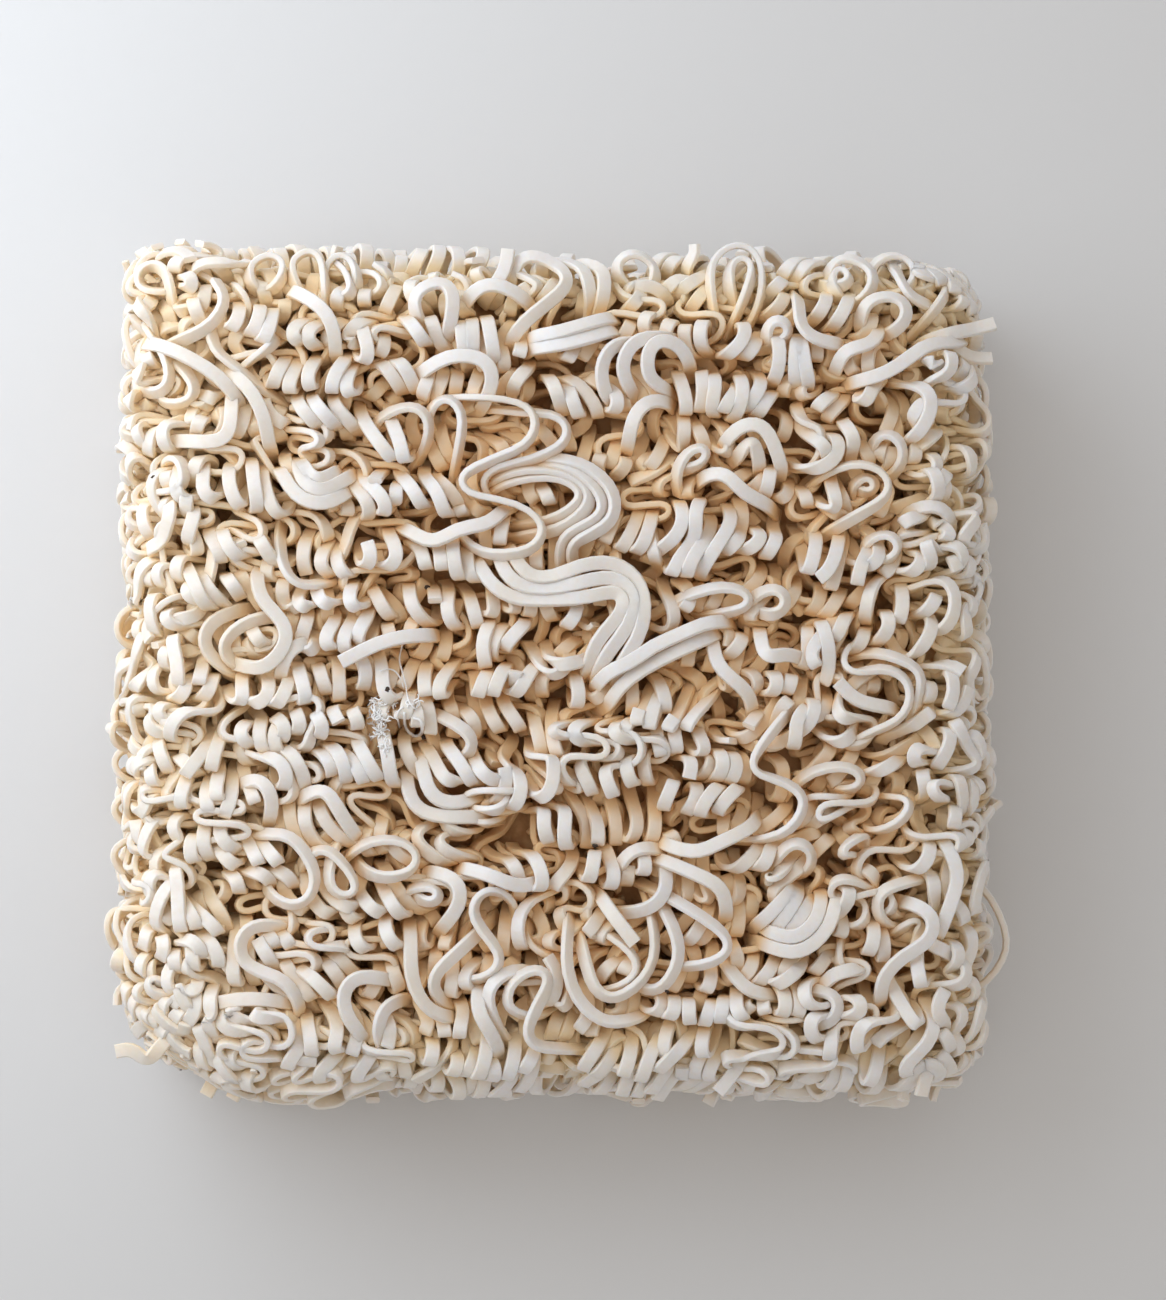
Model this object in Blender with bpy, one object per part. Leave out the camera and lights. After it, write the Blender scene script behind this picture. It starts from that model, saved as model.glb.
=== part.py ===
"""A block of instant noodles: wavy strands pressed into a square cake with rounded edges.

Metres, +Z up. The origin is the middle of the flat underside, and the longer side runs along X.
The strands travel along Y and wave up and down, so their crests make rows along X on the top.
"""

import math
import random

import bmesh
import bpy
from mathutils import Vector

LENGTH = 0.100  # along X, at the widest
WIDTH = 0.0970  # along Y, at the widest
HEIGHT = 0.0290
DRAFT = 0.0026  # how far each wall leans in on its way up
TOP_EDGE_RADIUS = 0.0085
BASE_EDGE_RADIUS = 0.0030
CORNER_RADII = {  # in plan, by the signs of X and Y
    (-1, 1): 0.0060,
    (1, 1): 0.0090,
    (1, -1): 0.0085,
    (-1, -1): 0.0120,
}

CREST_PITCH = 0.0052  # from one row of crests to the next, along Y
CREST_DEPTH = 0.0020
ROW_SLANT = 0.06  # how much the rows climb in Y along X
LANE_WIDTH = 0.0062  # a bundle of strands that wave in step
LANE_SHIFT = 0.32  # largest phase step of a lane, in waves
SIDE_LOOP_PITCH = 0.0062  # the strands' waves that bulge out of the walls at the ends of X
END_LOOP_PITCH = 0.0110  # the bundles that fold over or end at the ends of Y
LOOP_DEPTH = 0.0012
SEAM_DEPTH = 0.0006  # between the lower and the upper layer of strands
SEAM_HALF_HEIGHT = 0.0035
SWELL_DEPTH = 0.0005  # the cake's slow unevenness
SWELL_LENGTH = 0.045

TOP_COLUMNS = 30
TOP_ROWS = 60
TOP_EDGE_STEPS = 5
WALL_STEPS = 7
BASE_EDGE_STEPS = 3

NOODLE_CREAM = (0.80, 0.68, 0.50, 1.0)
NOODLE_ROUGHNESS = 0.55

SEED = 7


def clear_scene():
    for thing in list(bpy.data.objects):
        bpy.data.objects.remove(thing, do_unlink=True)


def wall_profile():
    """(inset, height) from the rim of the flat top, round the edge and down the wall to the base."""
    profile = []
    for step in range(TOP_EDGE_STEPS + 1):
        turn = math.pi / 2 * (1 - step / TOP_EDGE_STEPS)
        inset = TOP_EDGE_RADIUS * (1 - math.cos(turn))
        profile.append((inset, HEIGHT - TOP_EDGE_RADIUS * (1 - math.sin(turn))))
    wall_top = HEIGHT - TOP_EDGE_RADIUS
    for step in range(1, WALL_STEPS):
        share = step / WALL_STEPS
        profile.append((0.0, wall_top + (BASE_EDGE_RADIUS - wall_top) * share))
    for step in range(BASE_EDGE_STEPS + 1):
        turn = math.pi / 2 * step / BASE_EDGE_STEPS
        inset = BASE_EDGE_RADIUS * (1 - math.cos(turn))
        profile.append((inset, BASE_EDGE_RADIUS * (1 - math.sin(turn))))
    return [(inset + DRAFT * height / HEIGHT, height) for inset, height in profile]


def outline_point(u, v, inset):
    """Where (u, v) of a square from -1 to 1 lies on the block's plan, drawn in by inset."""
    half = (LENGTH / 2 - inset, WIDTH / 2 - inset)
    reach = max(abs(u), abs(v))
    signs = (1 if u > 0 else -1, 1 if v > 0 else -1)
    radius = CORNER_RADII[signs] * reach
    place = [abs(u) * half[0], abs(v) * half[1]]
    inner = [min(place[axis], half[axis] * reach - radius) for axis in (0, 1)]
    past = [place[axis] - inner[axis] for axis in (0, 1)]
    if min(past) > 0:
        length = math.hypot(*past)
        place = [inner[axis] + radius * past[axis] / length for axis in (0, 1)]
    return signs[0] * place[0], signs[1] * place[1]


def smooth_step(share):
    share = min(max(share, 0.0), 1.0)
    return share * share * (3 - 2 * share)


def lane_phases():
    """A phase for each lane of strands across the block, in waves."""
    chance = random.Random(SEED)
    count = math.ceil(LENGTH / LANE_WIDTH) + 2
    return [chance.uniform(-LANE_SHIFT, LANE_SHIFT) for _ in range(count)]


def lane_phase(x, phases):
    """The wave's phase at x, which steps from one lane to the next over half a lane."""
    place = (x + LENGTH / 2) / LANE_WIDTH + 0.5
    lane = max(int(place), 0)
    blend = smooth_step((place - lane) * 2 - 0.5)
    return phases[lane] * (1 - blend) + phases[lane + 1] * blend


def wave(turns):
    """0 on a crest and 1 in the valley between two."""
    return 0.5 - 0.5 * math.cos(2 * math.pi * turns)


def relief(point, normal, phases):
    """How deep the surface lies under the block's rounded outline at a point."""
    x, y, z = point
    phase = lane_phase(x, phases)
    rows = wave((y - ROW_SLANT * x) / CREST_PITCH + phase)
    above_seam = (z - HEIGHT / 2) / SEAM_HALF_HEIGHT
    layer = 0.5 * smooth_step(above_seam + 0.5)
    side_loops = wave(y / SIDE_LOOP_PITCH + layer)
    end_loops = wave(x / END_LOOP_PITCH + layer)
    seam = math.exp(-(above_seam**2))
    swell = wave(x / SWELL_LENGTH) * wave(y / SWELL_LENGTH + 0.3)
    top, side, end = (part**2 for part in (normal.z, normal.x, normal.y))
    depth = CREST_DEPTH * rows * top
    depth += LOOP_DEPTH * (side_loops * side + end_loops * end)
    depth += SEAM_DEPTH * seam * (1 - top)
    return depth + SWELL_DEPTH * swell


def add_top(bm, inset):
    """The top as a grid, and each of its vertices' place (u, v) on the square."""
    bmesh.ops.create_grid(bm, x_segments=TOP_COLUMNS, y_segments=TOP_ROWS, size=1.0)
    square = {}
    for vert in bm.verts:
        square[vert] = (vert.co.x, vert.co.y)
        vert.co = (*outline_point(vert.co.x, vert.co.y, inset), HEIGHT)
    return square


def extrude_ring(bm, square, inset, height):
    """Extrudes the open rim by one ring of faces, out and down to the given place."""
    rim = [edge for edge in bm.edges if edge.is_boundary]
    made = bmesh.ops.extrude_edge_only(bm, edges=rim)["geom"]
    ring = [item for item in made if isinstance(item, bmesh.types.BMVert)]
    above = {vert: square[known_neighbour(vert, square)] for vert in ring}
    for vert, place in above.items():
        square[vert] = place
        vert.co = (*outline_point(*place, inset), height)


def known_neighbour(vert, square):
    neighbours = [edge.other_vert(vert) for edge in vert.link_edges]
    return next(other for other in neighbours if other in square)


def press_strands_in(bm, phases):
    """Sinks every vertex above the base by the strands' relief, along its own normal."""
    bm.normal_update()
    moves = {}
    for vert in bm.verts:
        if vert.co.z > 0:
            moves[vert] = -vert.normal * relief(vert.co, vert.normal, phases)
    for vert, move in moves.items():
        vert.co += move


def centre_on_base(bm):
    """Moves the block so that the middle of its bounds stands on the origin."""
    lows = [min(vert.co[axis] for vert in bm.verts) for axis in (0, 1)]
    highs = [max(vert.co[axis] for vert in bm.verts) for axis in (0, 1)]
    middle = Vector(((lows[0] + highs[0]) / 2, (lows[1] + highs[1]) / 2, 0.0))
    for vert in bm.verts:
        vert.co -= middle


def noodle_material():
    material = bpy.data.materials.new("noodle_dough")
    material.use_nodes = True
    shader = material.node_tree.nodes["Principled BSDF"]
    shader.inputs["Base Color"].default_value = NOODLE_CREAM
    shader.inputs["Roughness"].default_value = NOODLE_ROUGHNESS
    shader.inputs["Metallic"].default_value = 0.0
    return material


def build_noodle_block():
    bm = bmesh.new()
    profile = wall_profile()
    square = add_top(bm, profile[0][0])
    for inset, height in profile[1:]:
        extrude_ring(bm, square, inset, height)
    press_strands_in(bm, lane_phases())
    bmesh.ops.holes_fill(bm, edges=[edge for edge in bm.edges if edge.is_boundary])
    bmesh.ops.recalc_face_normals(bm, faces=bm.faces)
    centre_on_base(bm)
    mesh = bpy.data.meshes.new("noodle_block")
    bm.to_mesh(mesh)
    bm.free()
    mesh.materials.append(noodle_material())
    mesh.shade_smooth()
    block = bpy.data.objects.new("noodle_block", mesh)
    bpy.context.collection.objects.link(block)


clear_scene()
build_noodle_block()
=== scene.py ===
"""The looks of a block of instant noodles: separate wavy strands, pressed together over a core.

The strands are laid out as the real ones are. A belt of them waves up and down along Y, is cut,
folded over once at the far end, and pressed into a square pan. Lengths are in millimetres until
the meshes are made. The photograph's right is +X and its top is +Y.
"""

import itertools
import math

import bmesh
import bpy
import numpy as np
from mathutils import Matrix, Vector


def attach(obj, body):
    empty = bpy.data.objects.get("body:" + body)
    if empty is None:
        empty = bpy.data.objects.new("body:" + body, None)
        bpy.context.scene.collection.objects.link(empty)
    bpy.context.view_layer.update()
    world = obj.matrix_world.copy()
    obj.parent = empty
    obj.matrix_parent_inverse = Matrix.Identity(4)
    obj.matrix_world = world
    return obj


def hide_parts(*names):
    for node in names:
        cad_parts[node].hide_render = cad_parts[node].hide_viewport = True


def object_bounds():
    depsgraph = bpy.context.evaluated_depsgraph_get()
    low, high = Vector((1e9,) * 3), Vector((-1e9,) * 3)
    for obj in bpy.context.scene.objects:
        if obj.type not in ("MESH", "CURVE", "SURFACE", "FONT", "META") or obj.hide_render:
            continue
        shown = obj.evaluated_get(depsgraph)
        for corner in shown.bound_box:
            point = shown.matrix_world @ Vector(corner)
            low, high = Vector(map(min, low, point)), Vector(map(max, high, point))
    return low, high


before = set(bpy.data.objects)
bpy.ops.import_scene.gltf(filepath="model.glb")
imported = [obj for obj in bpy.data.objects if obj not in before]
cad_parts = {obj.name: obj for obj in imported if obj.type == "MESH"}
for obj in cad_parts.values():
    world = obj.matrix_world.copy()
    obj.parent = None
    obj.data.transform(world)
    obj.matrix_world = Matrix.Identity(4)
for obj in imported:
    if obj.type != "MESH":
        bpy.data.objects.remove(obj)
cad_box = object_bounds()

MM = 0.001
TAU = 2 * math.pi
SEED = 11

# The block, from the CAD box.
LENGTH, WIDTH, HEIGHT = ((high - low) / MM for low, high in zip(*cad_box))
DRAFT = 2.6
TOP_EDGE_RADIUS = 8.5
BASE_EDGE_RADIUS = 3.0
CORNER_RADII = {(-1, 1): 6.0, (1, 1): 9.0, (1, -1): 8.5, (-1, -1): 19.0}
CORNER_BLEND = 6.0  # to each side of the middle, where one corner's radius passes into the next

# One strand.
STRAND_WIDTH = 1.52
STRAND_THICKNESS = 0.72
CORNER_CUT = 0.16
FINE_STEP = 0.08  # between the points of a strand as it is laid
POINT_STEP = 0.75  # between its points from the pressing on

# The belt of strands and its waves.
LANE_STEP = 1.95
BELT_HALF_WIDTH = 39.0
BUNDLE_SIZES = {1: 0.22, 2: 0.3, 3: 0.24, 4: 0.14, 5: 0.07, 6: 0.03}  # and how likely each is
ROW_WAVERS = (26, 70)  # the shortest and the longest swing of what wavers over the block
TANGLE_WAVERS = (16, 40)
SLANT_WAVERS = (18, 50)
ROW_PLAY = 0.3  # of the waves' phase, in waves
PHASE_PLAY = (0.08, 0.25)  # the same in a bundle: in tidy strands, and more in tangled ones
STRAND_PHASE_PLAY = (0.04, 0.08)
PHASE_STEP = 0.08  # from one strand of a bundle to the next
TANGLE = 0.42
TANGLE_PLAY = 0.3
TANGLE_SLOPE = 0.2  # over the length of 50, towards the near right
TANGLE_LIMITS = (0.05, 1.4)
CRUMBLED = 0.4  # more tangled at the near end
CRUMBLED_ROWS = (-32, -46)
SLANT = 1.2
SLANT_LIMITS = (-0.8, 1)
SLANT_LANES = 22
SLANT_PLAY = 0.85
BELT_LEAN = -0.5
LAY_PLAY = 1.3  # how far tangled waves have fallen over
LAY_START = 0.3  # what is less than this stands upright
HEIGHT_PLAY = 0.12
BULB_PLAY = 0.3
LEFT_PITCH = 5.7
RIGHT_PITCH = 4.8
WAVE_TOP = 7.0  # from the path to a crest
WAVE_HEIGHT = 4.3
WAVE_BULB = 0.72
CREST_FLATNESS = 0.04
FLAT_WAVE_HEIGHT = 3.2
FLAT_WAVE_BULB = 0.62
BUNDLE_SINK = 3.2
BUNDLE_SINK_RANGE = (-0.3, 1.2)
STRAND_SINK = 1.6
STRAND_SINK_RANGE = (-0.2, 1.2)
LEFT_LANES = (-14, -32)  # from here to here the strands come to lie closer and higher
LEFT_LIFT = 0.75  # the share of their sinking that the leftmost strands don't make
FOLD_RADIUS = HEIGHT / 4
END_INSET = 9.5
END_RADIUS = 1.5
END_WALL = 16.0  # how far strands reach down the near wall

# The strands along the two walls that face X.
WALL_WAVE_HEIGHT = 3.7
WALL_ROW_PLAY = 0.5
WALL_HEIGHT_PLAY = 0.15
WALL_BULB_PLAY = 0.25
RAIL_TURNS = 6
RAIL_START = 0.15

# The strands below the top.
UNDER_HALF_WIDTH = 42.0
UNDER_LANE_STEP = 2.3
UNDER_PITCH = 7.2
UNDER_DEPTH = 5.0
UNDER_LEFT_RISE = 2.1
UNDER_LEFT_EDGE = -20.0
UNDER_LEFT_STEP = 1.8
UNDER_END = 3.0
UNDER_HEIGHT_SHARE = 0.7
UNDER_LAY = 0.6

# The strands that fill the gaps in the walls.
INNER_DEPTH = 5.0
INNER_HEIGHTS = (3.8, 6.8, 9.8, 12.8, 15.8, 18.8, 21.6)
INNER_PITCH = 7.6
INNER_WAVE_HEIGHT = 1.3
INNER_SQUARENESS = 0.25  # the power that turns a circle into their square
INNER_STEPS = 1441

# What wavers along a strand's run, with the shortest and the longest swing and how much of each.
WAVERS = ("phase", "coil", "curl", "lay", "lean", "sink", "bulb", "drift")
BUNDLE_WAVERS = (7, 30), {"coil": 0.5, "curl": 0.6, "lean": 0.4, "drift": 1.6}
STRAND_WAVERS = (5, 18), {"coil": 0.3, "curl": 0.3, "lay": 0.12, "bulb": 0.07, "drift": 0.45}
UNDER_WAVERS = (
    (9, 36),
    {"phase": 0.5, "lay": 0.4, "lean": 0.6, "sink": 0.9, "bulb": 0.3, "drift": 2.0},
)
WALL_WAVERS = (
    (6, 28),
    {"phase": 0.3, "coil": 0.9, "curl": 0.5, "lay": 0.6, "lean": 0.25, "sink": 0.9, "drift": 0.8},
)
INNER_WAVERS = (
    (6, 28),
    {"phase": 0.5, "coil": 1.2, "curl": 0.6, "lay": 0.7, "lean": 0.5, "bulb": 0.3, "drift": 0.8},
)

# Hair-thin torn fibres and dark specks on the top, one speck a painted shadow, measured like the
# strands below.
FIBRE_RADIUS = 0.09
FIBRE_SIDES = 6
FIBRE_LENGTHS = (0.4, 1.3)
FIBRE_POINTS = 10
FIBRE_TURN = 0.9
FIBRE_RISE = 0.12
THREAD_ROUNDS = 6  # of evening out a thread's height
FIBRE_PATCHES = [  # the middle's X and Y, the spread, and how many
    ((-21.0, -6.2), 0.6, 24),
    ((-20.8, -7.8), 0.7, 44),
    ((-20.7, -9.4), 0.6, 30),
    ((-20.2, -11.0), 0.5, 16),
    ((-18.9, -7.2), 0.5, 6),
    ((-17.0, -6.6), 0.5, 6),
]
THREADS = [  # the radius and the places of thin threads
    (0.10, [(-18.3, -0.1), (-18.6, -1.5), (-18.2, -3.2), (-17.8, -4.6)]),
    (0.10, [(-20.6, -2.9), (-19.4, -2.7), (-18.6, -3.4), (-18.1, -4.7)]),
    (0.09, [(-17.9, -4.4), (-17.6, -6.0), (-16.9, -6.9), (-16.5, -6.2)]),
    (0.19, [(-18.0, -7.3), (-17.9, -8.7), (-17.0, -9.6), (-16.2, -9.2), (-16.3, -8.2), (-17.1, -7.9)]),
    (0.12, [(-18.6, -8.7), (-18.7, -7.4), (-18.1, -6.7)]),
]
# Specks of scorched flour, but the one at (2.0, -21.2) is painted shade: a dark speck where a deep
# hole shows dark.
SPECKS_AND_SHADE_HOLE = [(-15.7, 6.2), (-19.8, -4.9), (-16.0, -9.7), (-44.5, 17.6), (2.0, -21.2), (9.5, -36.4)]
SPECK_SIZE = 0.30

# The strands that the photograph shows clearly.
SEEN_SCALE = 1.018  # the block's size to that of the flat drawing they were measured on
SEEN_SHIFT = (1.7, 2.1)
VIEW_SLANT = (0.046, 0.074)  # how far the view moves along X and Y with each length of depth
VIEW_DISTANCE = 335.0
LINE_STEPS = 30
CURVE_STEPS = 24  # between two of a curve's places
SEEN_STEP = 0.25
END_TRIM = 0.6  # of a seen strand's length, where it already turns down
TRIMMED_ROWS = 14  # strands with fewer rows aren't trimmed
END_SINK = 0.9
END_SINK_LENGTH = 3.0
ROLL_PLAY = 14.0  # degrees
BAND_ROLL_PLAY = 22.0
ROLL_WAVERS = (12, 30)
BAND_SPREAD = 0.92  # of a band's strands, to their own width
BAND_FAN = 0.22
FAN_WAVERS = (10, 25)
TAIL_LENGTH = 5.5
TAIL_STEPS = 20
TAIL_BEND_LENGTH = 1.5
TAIL_LOOK_BACK = 2.0  # the length before an end that gives its tail its bend
TAIL_MOST_BEND = 0.4  # radians a millimetre
FLAT_TAIL_DROP = 78.0  # degrees
EDGE_TAIL_DROP = 40.0
SEEN_GRIP = 0.25  # how far a seen strand gives way, where a loose one gives way by 1
SEEN_PULL = 0.05
SEEN_PLAY = 8.0  # how far it may stand out of the outline
RIM_SHARE = 0.8  # of the top edge's radius, as far out as seen strands follow it down
ROOM_MARGIN = 6.0
ROOM_CELL = 0.5
ROOM_DEPTH = 1.7
ROOM_REACH = (3.5, 6.5)

# Breaks in the strands, counted in their points as they are laid.
UNBROKEN_LENGTH = 260.0
BREAK_ROWS = 8
PIECE_ROWS = 80  # what is shorter between two breaks is left out
KEPT_ROWS = 20  # and so is what is shorter once the block's middle is left out

# The pressing.
PRESS_ROUNDS = 120
PAIR_ROUNDS = 8
PRESS_START = 1.5  # how far outside of the outline the lid starts
PAIR_MARGIN = 0.1
OWN_REACH = 3.0  # closer than this, points of one strand don't push each other
POINT_REACH = 0.6  # of a point along its strand, in steps
EDGE_STIFFNESS = 0.15
TOP_SWELL = 0.35
WALL_SWELL = 0.75
WALL_GIVE = 0.7
SWELL_WAVERS = (9, 30)
FLAT_DEPTH = 1.2  # of strands that the pan turns flat
FLAT_SLOPE = 0.75  # of their width to the pan, at most
EASE_ROUNDS = 5  # rounding of the bends after the pressing
EASE_SHARE = 0.35

# How deep strands are kept over the core, at the top, the walls and the base.
TOP_DEPTH = 8.0
WALL_DEPTH = 6.5
BASE_DEPTH = 5.0
HIDDEN_DEPTH = 1.5

# The core.
CORE_CUTS = 36
CORE_RELIEF = 0.8
CORE_WAVERS = (4, 9, 12)
CORE_ROUNDNESS = 7

# Colours, as linear light.
CREAM = (0.825, 0.80, 0.80, 1)
PALE_CREAM = (0.84, 0.835, 0.855, 1)
WARM_CREAM = (0.83, 0.775, 0.715, 1)
# Painted light: a lighter, warmer cream on the left, where the light falls strongest.
LEFT_PAINTED_LIGHT_CREAM = (1.0, 0.915, 0.86, 1)
# Painted shade: the warmer, darker colour of strands deep in the block, under others and on faces
# turned inwards.
PAINTED_SHADE_TAN = (0.90, 0.62, 0.35, 1)
OIL_TAN = (0.78, 0.64, 0.46, 1)
# Painted light in the left's shade: a bright peach, as where light comes through the strands.
LEFT_PAINTED_GLOW_TAN = (1.0, 0.79, 0.54, 1)
# Painted shade near the block's edges: lighter and yellower than deeper in.
RIM_PAINTED_SHADE_TAN = (0.98, 0.83, 0.59, 1)
FIBRE_WHITE = (0.95, 0.95, 0.94, 1)
SPECK_BROWN = (0.07, 0.035, 0.018, 1)
SPECK_BLACK = (0.012, 0.009, 0.008, 1)
# Painted shade: the core stands for deeper strands and is coloured as their shade.
CORE_SHADE_TAN = (0.78, 0.50, 0.25, 1)
CORE_SHADE_DARK = (0.58, 0.32, 0.14, 1)
FLOOR_GREY = (0.72, 0.72, 0.73, 1)
SKY = (1.0, 0.955, 0.90, 1)
SKY_STRENGTH = 0.57

# The dough's material, with its painted light and painted shade: where its colours pass into each
# other, in metres, and how light enters it.
# Across this zone the left's painted light fades out towards the right.
PAINTED_LEFT_LIGHT_ZONE = (-0.046, -0.014)
RIM_SHADE_ZONE = (0.033, 0.043)
PAINTED_SHADE_RANGE = (0.03, 0.44)  # of a place's cover, depth and slope together, with the left's painted glow, over which the painted shade comes in
BLOTCH_SCALE = 110.0
MOTTLE_SCALE = 1500.0
MOTTLE_HEIGHT = 0.00008
SUBSURFACE = 0.28
SUBSURFACE_RADIUS = (1.0, 0.75, 0.55)
SUBSURFACE_SCALE = 0.0012

# The lights and the camera, in metres and degrees.
LIGHTS = {  # each one's place, size, power and colour
    "key": ((-0.12, 0.24, 0.24), 0.40, 0.17, (0.80, 0.89, 1.0)),
    "window": ((-0.15, 0.085, 0.115), 0.22, 0.32, (0.84, 0.92, 1.0)),
}
CAMERA_AIM = (0.00345, 0.00306, 0.006)
CAMERA_ELEVATION = 85.0
CAMERA_AZIMUTH = -32.0
PICTURE_HEIGHT = 0.1491  # at the aim
SENSOR_HEIGHT = 24.0  # millimetres

# The meshes: rings come this often, in radians of bend and in length.
RING_BEND = 0.5
RING_LENGTH = 2.8
WIDE_FACE_TURN = 85.0  # degrees, of its edges' normals
NARROW_FACE_TURN = 8.0
# The cover, which the material turns into painted shade, is measured in cells of this size and at
# these reaches out.
COVER_CELL = 0.9
COVER_REACHES = (0.9, 1.8, 2.7, 3.6)
COVER_MARGIN = 6
SHORTEST_RUN = 8  # points; what is shorter would look like a loose crumb
STRIP_GAP = 0.5  # between the strips of a piece's unrolled surface


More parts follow.
